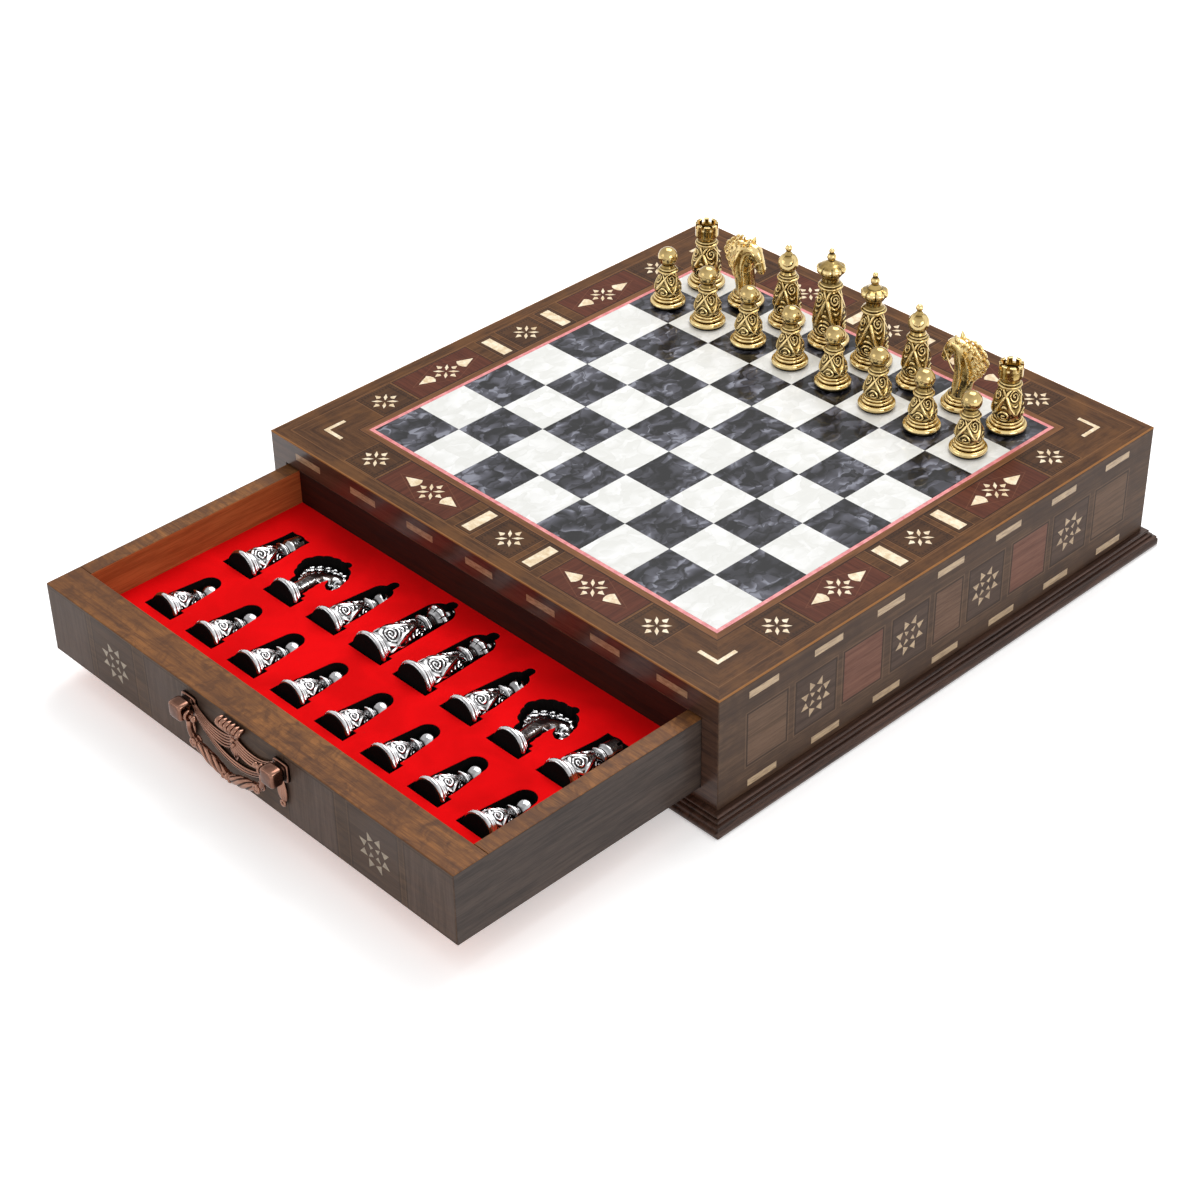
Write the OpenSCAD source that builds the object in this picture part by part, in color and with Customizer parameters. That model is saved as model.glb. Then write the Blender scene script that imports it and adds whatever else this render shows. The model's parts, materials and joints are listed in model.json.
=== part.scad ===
// Inlaid chess box: playing board on top, a drawer at the front and one at the back,
// and two turned metal sets. X runs along the drawer fronts, Y from front to back.
// The origin is the middle of the box's underside, and every length is in millimetres.

/* [Board] */
// Side of one playing square
square = 36; // [34:0.5:38]
// Joint left between two neighbouring squares
tile_gap = 0.1; // [0.05:0.05:0.3]
// Width of the double line round the playing field
string_w = 2.6; // [2:0.2:4]
// Width of the inlaid border outside that line
border_w = 42.4; // [41:0.2:50]
// Thickness of the top veneer and its inlays
veneer_t = 0.8; // [0.6:0.1:1.2]

/* [Case] */
// Height from the table to the playing surface
case_h = 86; // [84:1:100]
// Thickness of the moulded base board
base_h = 11; // [10:0.5:14]
// How far the moulded edge stands out of the walls
base_proud = 9; // [7:0.5:12]
// Plan radius of the base board's corners
base_corner_r = 4; // [2:0.5:6]
// Thickness of the floor that the drawers slide on
floor_t = 9; // [6:0.5:10]
// Thickness of the side walls
side_t = 12.5; // [10:0.5:16]
// Thickness of the board under the veneer
top_t = 16.7; // [12:0.1:17]
// Thickness of the divider between the drawers
divider_t = 6; // [4:0.5:8]

/* [Drawers] */
// Clearance between a drawer and each side wall
drawer_side_gap = 0.5; // [0.3:0.1:1]
// Clearance under a drawer
drawer_floor_gap = 0.3; // [0.2:0.1:0.6]
// Clearance over a drawer
drawer_top_gap = 1.2; // [0.8:0.1:2]
// Clearance behind a closed drawer
drawer_back_gap = 1; // [0.5:0.5:2]
// How far a drawer pulls out
drawer_travel = 175; // [150:1:176]
// Thickness of a drawer's front board
front_t = 23.5; // [20:0.5:24]
// Thickness of a drawer's side walls
drawer_side_t = 11; // [9:0.5:12]
// Thickness of a drawer's back wall
drawer_back_t = 9; // [7:0.5:10]
// Thickness of a drawer's bottom panel
bottom_t = 4; // [3:0.5:5]
// Height of the bottom panel over the drawer's lower edge
bottom_up = 3; // [2:0.5:4]
// Depth of the groove that holds the bottom panel
groove_d = 4; // [2:0.5:6]
// Thickness of a glue line between two pieces of one group
glue_gap = 0.05; // [0.02:0.01:0.1]

/* [Pocket bed] */
// Height of the velvet over the drawer's bottom panel
bed_h = 16.6; // [16:0.2:18]
// Thickness of the foam left under a pocket
bed_floor = 1.6; // [1:0.2:2.5]
// Clearance between a piece and its pocket's wall
pocket_gap = 0.6; // [0.5:0.1:1]
// Clearance under a piece that lies in its pocket
lie_gap = 0.3; // [0.2:0.1:0.5]
// Distance between two neighbouring pockets
pocket_pitch = 39; // [38:0.5:39.5]
// Distance from a drawer's outer face to the pawns' feet
pawn_at = 48.6; // [46:0.2:50]
// Distance from the taller crown to the back of the officers' bed
crown_room = 3.1; // [2.5:0.1:4]
// Distance from the officers' soles to the pawns' bed
sole_room = 7.4; // [6:0.2:8]

/* [Pieces] */
// Foot radius of a pawn
pawn_r = 11.7; // [10.5:0.1:12.5]
// Foot radius of a rook
rook_r = 12.5; // [11.5:0.1:13]
// Foot radius of a knight or bishop
bishop_r = 12.2; // [11.5:0.1:13]
// Foot radius of a king or queen
king_r = 13.5; // [12.5:0.1:13.8]
// Height of a pawn
pawn_h = 41.2; // [39:0.2:43]
// Height of a rook
rook_h = 45.5; // [43:0.5:47]
// Height of a knight's neck over its foot
knight_neck_h = 31.4; // [30:0.2:33]
// Height of a bishop
bishop_h = 56.4; // [54:0.2:58]
// Height of a queen
queen_h = 64.5; // [62:0.5:65]
// Height of a king
king_h = 67.5; // [66:0.5:68]
// Radius of a pawn's ball
ball_r = 6.4; // [6:0.1:6.8]
// Radius of a rook's cup
cup_r = 7.5; // [7:0.1:8]
// Radius of a bishop's mitre
mitre_r = 6.6; // [6:0.1:6.8]
// Radius of a queen's cap
queen_cap_r = 8.9; // [8.4:0.1:9.2]
// Radius of a king's cap
king_cap_r = 9.6; // [9:0.1:9.8]
// Drop from the top of a king or queen to the edge of its cap
cap_drop = 14; // [13.4:0.1:14.4]

/* [Inlays] */
// Distance from the border's inner edge to the middle of its inlays
inlay_off = 18.2; // [17:0.1:20]
// Length and width of a bone bar on the border
bar_l = 21.7; // [18:0.1:23]
bar_w = 7.3; // [6:0.1:8]
// Leg length and width of a corner angle
angle_l = 15.5; // [12:0.5:16]
angle_w = 2.6; // [2:0.1:3.5]
// Tip radius of a star on the border
star_r = 9.4; // [8:0.1:10]
// Tip distance and half width of a diamond's end kite
kite_tip = 22.6; // [21:0.2:24]
kite_w = 4.6; // [4:0.1:5]
// Depth of the inlays in the side walls and drawer fronts
side_inlay_t = 0.8; // [0.6:0.1:1.2]
// Tip distance of a star on a side wall or drawer front
wall_star_r = 11.8; // [10:0.1:12.5]
// Length and height of a bar on a side wall
wall_bar_l = 23; // [20:0.5:25]
wall_bar_h = 4.5; // [4:0.1:5]
// Distance from the wall's ends to the middle of its outer bars
wall_bar_margin = 34.8; // [30:0.2:38]
// Drop from the playing surface to the upper bars' middle
upper_bar_drop = 8.6; // [6:0.2:10]
// Height of the lower bars' middle over the base board
lower_bar_up = 6; // [4:0.2:8]
// Distance from a wall's middle to its inner stars
wall_star_in = 33.5; // [32:0.5:36]
// Distance from an inner star to the outer star on its side
wall_star_step = 78.6; // [74:0.2:80]
// Distance from a drawer front's middle to its stars
front_star_at = 113.4; // [100:0.2:130]
// Drop from a drawer front's upper edge to its stars
front_star_drop = 24.5; // [18:0.5:28]

/* [Handle] */
// Distance from the handle's middle to each post
post_at = 40; // [38:0.5:44]
// Side of a post
post_w = 11; // [10:0.5:12]
// How far a post stands out of the drawer front
post_l = 12; // [11:0.5:14]
// Drop from the drawer front's upper edge to the middle of the posts
post_drop = 11.3; // [11:0.1:14]
// Thickness of the pierced plate
plate_t = 2; // [1.6:0.2:2.4]
// Depth and breadth of the plate's long swag
swag_fall = 22; // [20:0.5:24]
swag_w = 3.4; // [3:0.1:4]
// Depth and breadth of the short swags beside the bow
fold_fall = 12; // [10:0.5:13]
fold_w = 8; // [7:0.5:9]
// Length of a hanging leaf under a post, and under the bow
post_husk_l = 20; // [17:0.5:22]
bow_husk_l = 17; // [15:0.5:18]
// Breadth of a hanging leaf
husk_w = 8; // [7:0.5:9]
// Radius of the bow's loops and of its knot
bow_r = 5.2; // [4.8:0.1:5.6]
knot_r = 3.4; // [3:0.1:3.8]
// Distance from the drawer front to the bail's pin
pin_out = 8; // [7.5:0.5:9]
// Radius of a bail pin
pin_r = 1.2; // [1:0.1:1.5]
// Length of a pin past the bail's eye
pin_past = 3.2; // [2.8:0.1:4]
// Clearance round a bail pin
pin_gap = 0.3; // [0.2:0.1:0.4]
// Radius of the ball on a pin's end
pin_ball_r = 1.9; // [1.7:0.1:2.2]
// Thickness of the bail's eyes
eye_t = 3.4; // [3.4:0.1:4]
// Play between an eye and the post beside it
bail_play = 0.9; // [0.7:0.1:1.2]
// Drop from the pins to the lowest point of the bail
bail_drop = 26; // [24:0.5:28]
// Half thickness of the bail
bail_r = 2; // [1.6:0.1:2.2]

/* [Hidden] */
$fn = 64;

// Board and case
field_half = 4 * square;
border_in = field_half + string_w;
case_half = border_in + border_w;
inner_half = case_half - side_t;
base_half = case_half + base_proud;
floor_top = base_h + floor_t;
veneer_z = case_h - veneer_t;
top_z = veneer_z - top_t;

// Drawers, in a frame whose Y = 0 is the outer face of a closed drawer
drawer_half = inner_half - drawer_side_gap;
drawer_z = floor_top + drawer_floor_gap;
drawer_h = top_z - drawer_top_gap - drawer_z;
drawer_l = case_half - divider_t / 2 - drawer_back_gap;
drawer_in_half = drawer_half - drawer_side_t;
drawer_in_end = drawer_l - drawer_back_t;
panel_z = drawer_z + bottom_up;
bed_z = panel_z + bottom_t;
velvet_z = bed_z + bed_h;
pocket_z = bed_z + bed_floor;
officer_at = drawer_in_end - crown_room - max(king_h, queen_h);
bed_split_at = officer_at - sole_room;

// Border inlays: shares of the run between the corner angles
inlay_at = border_in + inlay_off;
star_share = 0.72;
diamond_share = 0.415;
bar_share = 0.155;

// Turned pieces
felt_t = 0.8;
felt_in = 1.2;
foot_h = 8.6;
foot_l = 0.75 * foot_h + pocket_gap;
lip_r = 1.9;
lip_z = felt_t + lip_r;
body_in = 4.7;
queen_stem_r = 5.1;
king_stem_r = 5.6;
finial_r = 2.9;
bishop_tip_r = 2.3;
ear_out = 2.4;
ear_h = 6.4;
ear_splay = 8;
ear_tip_r = 0.4;
ear_r = 1.9;
ear_x = 3;
neck_base = foot_h - 0.6;
drawn_neck_h = 31.4;
rib_w = 0.5;
rib_d = 0.5;
file_x = [for (i = [0:7]) (i - 3.5)];

wood = [0.36, 0.24, 0.17];
dark_wood = [0.27, 0.2, 0.17];
bone = [0.93, 0.86, 0.68];
gold = [0.83, 0.68, 0.34];
silver = [0.8, 0.8, 0.82];
copper = [0.55, 0.34, 0.27];
velvet = [0.86, 0.0, 0.03];

// ---------------------------------------------------------------- curves

// Points of an arc, counted in degrees from the X axis
function arc(x, y, r, from, to, steps = 8) =
    [for (i = [0:steps]) let (a = from + (to - from) * i / steps) [x + r * cos(a), y + r * sin(a)]];

// Points of a turned swelling between two radii, fullest near its lower end
function swell(r0, z0, r1, z1, out, steps = 9) =
    [for (i = [0:steps]) let (t = i / steps)
        [r0 + (r1 - r0) * t + out * sin(180 * pow(t, 0.65)), z0 + (z1 - z0) * t]];

// ---------------------------------------------------------------- case

// Section of the moulded edge, from the table up to the wall: a round toe and three beads.
// It is drawn 9 wide and 11 high, with X counted back from the outer face.
edge_shape = concat(
    arc(-2.4, 2.4, 2.4, -90, 40, 6),
    [[-1.6, 4.6]],
    arc(-2.8, 5.6, 1.1, -30, 120, 4),
    [[-4.1, 6.6]],
    arc(-4.9, 7.6, 1.1, -30, 120, 4),
    [[-6.2, 8.8]],
    arc(-6.4, 10, 1, -30, 90, 4),
    [[-9, 11]]
);

module edge_run() {
    edge = [for (p = edge_shape) [base_half + p[0] * base_proud / 9, p[1] * base_h / 11]];
    other_edge = [for (i = [len(edge) - 1:-1:0]) [-edge[i][0], edge[i][1]]];
    rotate([90, 0, 0])
        linear_extrude(2 * base_half, center = true)
            polygon(concat(edge, other_edge));
}

module rounded_square(half, r) {
    square([2 * half, 2 * (half - r)], center = true);
    square([2 * (half - r), 2 * half], center = true);
    for (x = [-1, 1], y = [-1, 1]) translate([x * (half - r), y * (half - r)]) circle(r);
}

module base_board() {
    color(dark_wood)
        intersection() {
            edge_run();
            rotate([0, 0, 90]) edge_run();
            linear_extrude(base_h) rounded_square(base_half, base_corner_r);
        }
}

module case_floor() {
    color(dark_wood)
        translate([-inner_half, -case_half, base_h])
            cube([2 * inner_half, 2 * case_half, floor_t]);
}

module wall_board() {
    difference() {
        translate([inner_half, -case_half, base_h])
            cube([side_t, 2 * case_half, veneer_z - base_h]);
        wall_inlays(tile_gap);
    }
}

module left_side() {
    color(wood) mirror([1, 0, 0]) wall_board();
}

module right_side() {
    color(wood) wall_board();
}

module centre_divider() {
    color(dark_wood)
        translate([-inner_half, -divider_t / 2, floor_top])
            cube([2 * inner_half, divider_t, top_z - floor_top]);
}

module top_board() {
    color(dark_wood)
        difference() {
            translate([-inner_half, -case_half, top_z])
                cube([2 * inner_half, 2 * case_half, top_t]);
            end_inlays(tile_gap);
        }
}

// ---------------------------------------------------------------- marquetry

// One leaf of a border star: a short kite on the axes, a long lozenge on the diagonals
module short_leaf(grow) {
    polygon([[star_r + grow, 0], [0.62 * star_r, 0.2 * star_r + grow],
        [0.52 * star_r - grow, 0], [0.62 * star_r, -0.2 * star_r - grow]]);
}

module long_leaf(grow) {
    polygon([[0.9 * star_r + grow, 0], [0.5 * star_r, 0.125 * star_r + grow],
        [0.12 * star_r - grow, 0], [0.5 * star_r, -0.125 * star_r - grow]]);
}

module border_star(grow) {
    for (a = [0:90:270]) {
        rotate(a) short_leaf(grow);
        rotate(a + 45) long_leaf(grow);
    }
}

// A diamond: a star between two kites with rounded shoulders
module diamond(grow) {
    border_star(grow);
    for (a = [0, 180])
        rotate(a)
            polygon([[kite_tip + grow, 0], [0.56 * kite_tip, kite_w + grow],
                [0.49 * kite_tip - grow, 0.55 * kite_w], [0.465 * kite_tip - grow, 0],
                [0.49 * kite_tip - grow, -0.55 * kite_w], [0.56 * kite_tip, -kite_w - grow]]);
}

module corner_angle(grow) {
    translate([-grow, -grow])
        polygon([[0, 0], [-angle_l, 0], [-angle_l, -angle_w], [-angle_w, -angle_w],
            [-angle_w, -angle_l], [0, -angle_l]] + [for (i = [0:5]) grow *
            [[2, 2], [0, 2], [0, 0], [0, 0], [0, 0], [2, 0]][i]]);
}

// All the bone of the border, in plan
module border_pattern(grow = 0) {
    for (side = [0:90:270])
        rotate(side) {
            translate([0, -inlay_at]) border_star(grow);
            for (s = [-1, 1]) {
                translate([s * bar_share * inlay_at, -inlay_at])
                    square([bar_w + 2 * grow, bar_l + 2 * grow], center = true);
                translate([s * diamond_share * inlay_at, -inlay_at]) diamond(grow);
                translate([s * star_share * inlay_at, -inlay_at]) border_star(grow);
            }
            translate([inlay_at + angle_w / 2, inlay_at + angle_w / 2]) corner_angle(grow);
        }
}

// A wall star: eight outer points and four inner ones, all triangles
module wall_star(grow) {
    u = wall_star_r / 11.8;
    for (a = [0:90:270])
        rotate(a) {
            for (m = [0, 1])
                mirror([m, 0])
                    polygon([[5 * u + grow, 11.8 * u + grow], [5 * u + grow, 5.9 * u - grow],
                        [0.6 * u - 2 * grow, 8.1 * u]]);
            polygon([[4.7 * u + grow, 4.7 * u + grow], [0.9 * u - 1.4 * grow, 3 * u],
                [3 * u, 0.9 * u - 1.4 * grow]]);
        }
}

// Seven bone bars in a row, in elevation
module bar_row(z, grow) {
    for (k = [-3:3])
        translate([k * (case_half - wall_bar_margin) / 3, z])
            square([wall_bar_l + 2 * grow, wall_bar_h + 2 * grow], center = true);
}

// The bone of a side wall, standing on the right wall's outer face
module wall_inlays(grow = 0) {
    wall_mid = (upper_bar_z() + lower_bar_z()) / 2;
    translate([case_half - side_inlay_t, 0, 0])
        rotate([90, 0, 90])
            linear_extrude(side_inlay_t + (grow > 0 ? 1 : 0)) {
                bar_row(upper_bar_z(), grow);
                bar_row(lower_bar_z(), grow);
                for (s = [-1, 1], d = [wall_star_in, wall_star_in + wall_star_step])
                    translate([s * d, wall_mid]) wall_star(grow);
            }
}

// The bone in the board's front and rear faces, over the drawers
module end_inlays(grow = 0) {
    for (turn = [0, 180])
        rotate([0, 0, turn])
            translate([0, -case_half + side_inlay_t, 0])
                rotate([90, 0, 0])
                    linear_extrude(side_inlay_t + (grow > 0 ? 1 : 0))
                        bar_row(upper_bar_z(), grow);
}

function upper_bar_z() = case_h - upper_bar_drop;
function lower_bar_z() = base_h + lower_bar_up;

module border_veneer() {
    color(wood)
        translate([0, 0, veneer_z])
            linear_extrude(veneer_t)
                difference() {
                    square(2 * case_half, center = true);
                    square(2 * border_in, center = true);
                    border_pattern(tile_gap);
                }
}

module bone_inlays() {
    color(bone) {
        translate([0, 0, veneer_z]) linear_extrude(veneer_t) border_pattern();
        wall_inlays();
        mirror([1, 0, 0]) wall_inlays();
        end_inlays();
    }
}

// Two lines with a narrow dark joint between them
module field_stringing() {
    line_w = (string_w - 3 * tile_gap) / 2;
    color([0.9, 0.42, 0.45])
        translate([0, 0, veneer_z])
            linear_extrude(veneer_t)
                for (inner = [field_half + tile_gap, border_in - tile_gap - line_w])
                    difference() {
                        square(2 * (inner + line_w), center = true);
                        square(2 * inner, center = true);
                    }
}

module tiles(parity) {
    tile = square - tile_gap;
    for (i = [0:7], j = [0:7])
        if ((i + j) % 2 == parity)
            translate([file_x[i] * square, file_x[j] * square, veneer_z + veneer_t / 2])
                cube([tile, tile, veneer_t], center = true);
}

module light_squares() {
    color([0.93, 0.92, 0.89]) tiles(1);
}

module dark_squares() {
    color([0.22, 0.22, 0.26]) tiles(0);
}

// ---------------------------------------------------------------- drawers

// The front drawer rests pulled out; the rear one is turned about and closed
module at_front() {
    translate([0, -case_half - drawer_travel, 0]) children();
}

module at_rear() {
    rotate([0, 0, 180]) translate([0, -case_half, 0]) children();
}

module bottom_panel(grow = 0) {
    reach = drawer_in_half + groove_d;
    translate([-reach - grow, front_t - groove_d - grow, panel_z])
        cube([2 * (reach + grow), drawer_in_end + groove_d - front_t + groove_d + 2 * grow, bottom_t]);
}

module drawer_front() {
    color(wood)
        difference() {
            translate([-drawer_half, 0, drawer_z]) cube([2 * drawer_half, front_t, drawer_h]);
            bottom_panel(glue_gap);
            front_stars(tile_gap);
        }
}

module drawer_walls() {
    color(wood)
        difference() {
            union() {
                for (x = [-drawer_half, drawer_in_half])
                    translate([x, front_t, drawer_z])
                        cube([drawer_side_t, drawer_l - front_t, drawer_h]);
                translate([-drawer_in_half + glue_gap, drawer_in_end, drawer_z])
                    cube([2 * (drawer_in_half - glue_gap), drawer_back_t, drawer_h]);
            }
            bottom_panel(glue_gap);
        }
}

module drawer_bottom() {
    color(wood) bottom_panel();
}

module front_stars(grow = 0) {
    for (s = [-1, 1])
        translate([s * front_star_at, side_inlay_t, drawer_z + drawer_h - front_star_drop])
            rotate([90, 0, 0])
                linear_extrude(side_inlay_t + (grow > 0 ? 1 : 0))
                    wall_star(grow);
}

module drawer_inlays() {
    color(bone) front_stars();
}

// Body of each turned pattern, from the foot to the neck
function pawn_neck() = pawn_h - 2 * ball_r - 4.6;
function rook_neck() = rook_h - 15.4;
function bishop_neck() = bishop_h - 24.2;
function crowned_neck(h) = h - cap_drop - 13;
function pawn_body() = swell(pawn_r - body_in, foot_h, 4.2, pawn_neck(), 2.7);
function rook_body() = swell(rook_r - body_in, foot_h, 5.9, rook_neck(), 2.7);
function bishop_body() = swell(bishop_r - body_in, foot_h, 5.4, bishop_neck(), 2.4);
function queen_body() =
    swell(king_r - body_in, foot_h, queen_stem_r + 0.4, crowned_neck(queen_h), 2.5);
function king_body() =
    swell(king_r - body_in, foot_h, king_stem_r + 0.4, crowned_neck(king_h), 2.8);
function widest(points) = max([for (p = points) p[0]]);
function last_wide(points) = max([for (p = points) if (p[0] > widest(points) - 0.5) p[1]]);

// A piece that lies down rests on its foot's lip and on its head. These are the foot's radius,
// the head's radius and the head's height for each pattern. A knight rests on an ear.
ear_side = ear_out + ear_h * sin(ear_splay) + 1.5 * ear_tip_r;
pawn_lie = [pawn_r, ball_r, pawn_h - ball_r];
rook_lie = [rook_r, cup_r, rook_h];
knight_lie = [bishop_r, ear_side, knight_h()];
bishop_lie = [bishop_r, mitre_r, bishop_h - 12.6];
queen_lie = [king_r, queen_cap_r, queen_h - cap_drop];
king_lie = [king_r, king_cap_r, king_h - cap_drop];

// Tilt at which the lip and the head touch one level floor
function lie_tilt(lie) = acos((lie[1] - lip_r) / norm([lie[0] - lip_r, lie[2] - lip_z]))
    - atan2(lie[2] - lip_z, lie[0] - lip_r);

// Height of the middle of the sole over that floor
function lie_up(lie) = (lie[0] - lip_r) * cos(lie_tilt(lie)) + lip_z * sin(lie_tilt(lie)) + lip_r;

// Pocket outlines in plan: a slot for the foot, a run as wide as the body that narrows to the
// head once the body does, and a round end
module foot_slot(lie) {
    foot_w = lie[0] + pocket_gap;
    back = lie[0] * sin(lie_tilt(lie)) + pocket_gap;
    translate([-foot_w, -back]) square([2 * foot_w, back + foot_l]);
}

module pocket(lie, body, head_r, head_y) {
    body_w = widest(body) + pocket_gap;
    head_w = head_r + pocket_gap;
    belly_y = last_wide(body);
    foot_slot(lie);
    polygon([[-body_w, foot_l - 1], [body_w, foot_l - 1], [body_w, belly_y], [head_w, head_y],
        [-head_w, head_y], [-body_w, belly_y]]);
    translate([0, head_y]) circle(head_w);
}

// The room for a tip that stands out of a head
module tip_slot(head_y, length, tip_r) {
    w = tip_r + pocket_gap;
    translate([-w, head_y]) square([2 * w, length - tip_r - head_y]);
    translate([0, length - tip_r]) circle(w);
}

module rook_pocket() {
    tilt = lie_tilt(rook_lie);
    w = cup_r + pocket_gap;
    pocket(rook_lie, rook_body(), cup_r, rook_h - 6);
    translate([-w, rook_h - 6])
        square([2 * w, rook_h * cos(tilt) + cup_r * sin(tilt) + pocket_gap - rook_h + 6]);
}

// The knight's pocket follows its neck and head, with a kidney for the mane and a slot for the ears
module knight_pocket() {
    poll = foot_h + knight_neck_h;
    settle = poll * (1 - cos(lie_tilt(knight_lie)));
    shoulder_w = bishop_r - 3.1 + 2 * pocket_gap;
    ear_w = ear_r + 2 * pocket_gap;
    foot_slot(knight_lie);
    translate([-shoulder_w, foot_l - 1]) square([2 * shoulder_w, 4.5]);
    translate([0, -settle]) {
        knight_profile(2 * pocket_gap + 0.3);
        translate([0, knight_lift()]) mane_outline(pocket_gap + 1);
        translate([ear_x + 0.6 - ear_w, poll - 4]) square([2 * ear_w, 11.8]);
        translate([ear_x + 0.6, poll + 7.8]) circle(ear_w);
    }
}

module pawn_pockets() {
    for (i = [0:7])
        translate([file_x[i] * pocket_pitch, pawn_at])
            pocket(pawn_lie, pawn_body(), ball_r, pawn_h - ball_r);
}

module officer_pockets(s) {
    for (m = [-1, 1])
        translate([m * 3.5 * pocket_pitch, officer_at]) rook_pocket();
    for (m = [-1, 1])
        translate([m * 2.5 * pocket_pitch, officer_at]) knight_pocket();
    for (m = [-1, 1])
        translate([m * 1.5 * pocket_pitch, officer_at]) {
            pocket(bishop_lie, bishop_body(), mitre_r, bishop_h - 12.6);
            tip_slot(bishop_h - 12.6, bishop_h, bishop_tip_r);
        }
    translate([s * 0.5 * pocket_pitch, officer_at]) {
        pocket(king_lie, king_body(), king_cap_r, king_h - cap_drop);
        tip_slot(king_h - cap_drop, king_h, finial_r);
    }
    translate([-s * 0.5 * pocket_pitch, officer_at]) {
        pocket(queen_lie, queen_body(), queen_cap_r, queen_h - cap_drop);
        tip_slot(queen_h - cap_drop, queen_h, finial_r);
    }
}

// A whole backing sheet with a die-cut layer on it
module bed(from, to) {
    color(velvet)
        translate([-drawer_in_half, from, bed_z]) {
            cube([2 * drawer_in_half, to - from, bed_floor - glue_gap]);
            translate([0, 0, bed_floor])
                linear_extrude(bed_h - bed_floor)
                    difference() {
                        square([2 * drawer_in_half, to - from]);
                        translate([drawer_in_half, -from]) children();
                    }
        }
}

module pawn_bed() {
    bed(front_t, bed_split_at) pawn_pockets();
}

module officer_bed() {
    bed(bed_split_at, drawer_in_end) officer_pockets(-1);
}

// ---------------------------------------------------------------- handle

post_z = drawer_z + drawer_h - post_drop;
bail_x = post_at - post_w / 2 - bail_play - eye_t / 2;

// Draws a plan shape on the drawer front: X across, Y up, thickness outwards
module on_front(t) {
    rotate([90, 0, 0]) linear_extrude(t) children();
}

// A hanging fold of drapery: the lune between two arcs through the same two points
module swag(span, sag, fall) {
    r0 = (span * span / 4 + sag * sag) / (2 * sag);
    r1 = (span * span / 4 + fall * fall) / (2 * fall);
    difference() {
        translate([0, r1 - fall]) circle(r1);
        translate([0, r0 - sag]) circle(r0);
        translate([-span, 0]) square([2 * span, 4 * r1]);
    }
}

// A tapering leaf from its stem at the origin down to a round end
module husk(l, w) {
    polygon([[-0.22 * w, 0], [0.22 * w, 0], [0.5 * w, 0.72 - l + 0.5 * w],
        [-0.5 * w, 0.72 - l + 0.5 * w]]);
    translate([0, 0.5 * w - l]) circle(0.5 * w);
}

module post_section(w) {
    r = 0.2 * w;
    square([w, w - 2 * r], center = true);
    square([w - 2 * r, w], center = true);
    for (x = [-1, 1], y = [-1, 1]) translate([x * (w / 2 - r), y * (w / 2 - r)]) circle(r);
}

module ribbed_leaf(l) {
    difference() {
        on_front(plate_t) husk(l, husk_w);
        translate([0, 0, 0.3 * husk_w - l]) ribs(2 * husk_w, plate_t, husk_w / 4, 5);
    }
}

// Narrow grooves across a bow loop or a leaf, cut into its face
module ribs(w, top, step, count) {
    for (k = [0:count - 1])
        translate([-w / 2, -top - rib_d, k * step - rib_w / 2]) cube([w, 2 * rib_d, rib_w]);
}

module handle_plate() {
    half = post_at - post_w / 2 + 1;
    band_w = (swag_w - 0.4) / 2;
    color(copper) {
        translate([0, 0, post_z]) {
            on_front(plate_t) {
                swag(2 * half, swag_fall - band_w, swag_fall);
                swag(2 * half, swag_fall - 2 * band_w - 1, swag_fall - band_w - 1);
                for (s = [-1, 1]) {
                    translate([s * (half + 1) / 2, 3])
                        rotate(s * 8) swag(half + 3, fold_fall - fold_w, fold_fall);
                }
            }
            for (s = [-1, 1])
                translate([s * post_at, 0, 1 - post_w / 2]) ribbed_leaf(post_husk_l);
            ribbed_leaf(bow_husk_l);
            for (s = [-1, 1])
                translate([s * (bow_r + 0.2), 0, bow_r - 0.2])
                    difference() {
                        on_front(2 * plate_t) circle(bow_r);
                        translate([0, 0, -1.5 * bow_r / 2]) ribs(3 * bow_r, 2 * plate_t, bow_r / 2, 4);
                    }
            on_front(2 * plate_t) circle(knot_r);
            for (s = [-1, 1])
                translate([s * post_at, 0, 0]) {
                    on_front(post_l) post_section(post_w);
                    on_front(plate_t) post_section(post_w + 2);
                }
            for (s = [-1, 1]) {
                inner = post_at - post_w / 2;
                tip = bail_x - eye_t / 2 - pin_past;
                translate([s * (inner + 1), -pin_out, 0])
                    rotate([0, -s * 90, 0])
                        cylinder(r = pin_r, h = inner + 1 - tip);
                translate([s * tip, -pin_out, 0]) sphere(pin_ball_r);
            }
        }
    }
}

// A stretch of round rod bent to an arc in the bail's plane
module bent_rod(bend_r, rod_r, from, to) {
    rotate([90, 0, 0])
        rotate([0, 0, from])
            rotate_extrude(angle = to - from)
                translate([bend_r, 0]) circle(rod_r);
}

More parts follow.
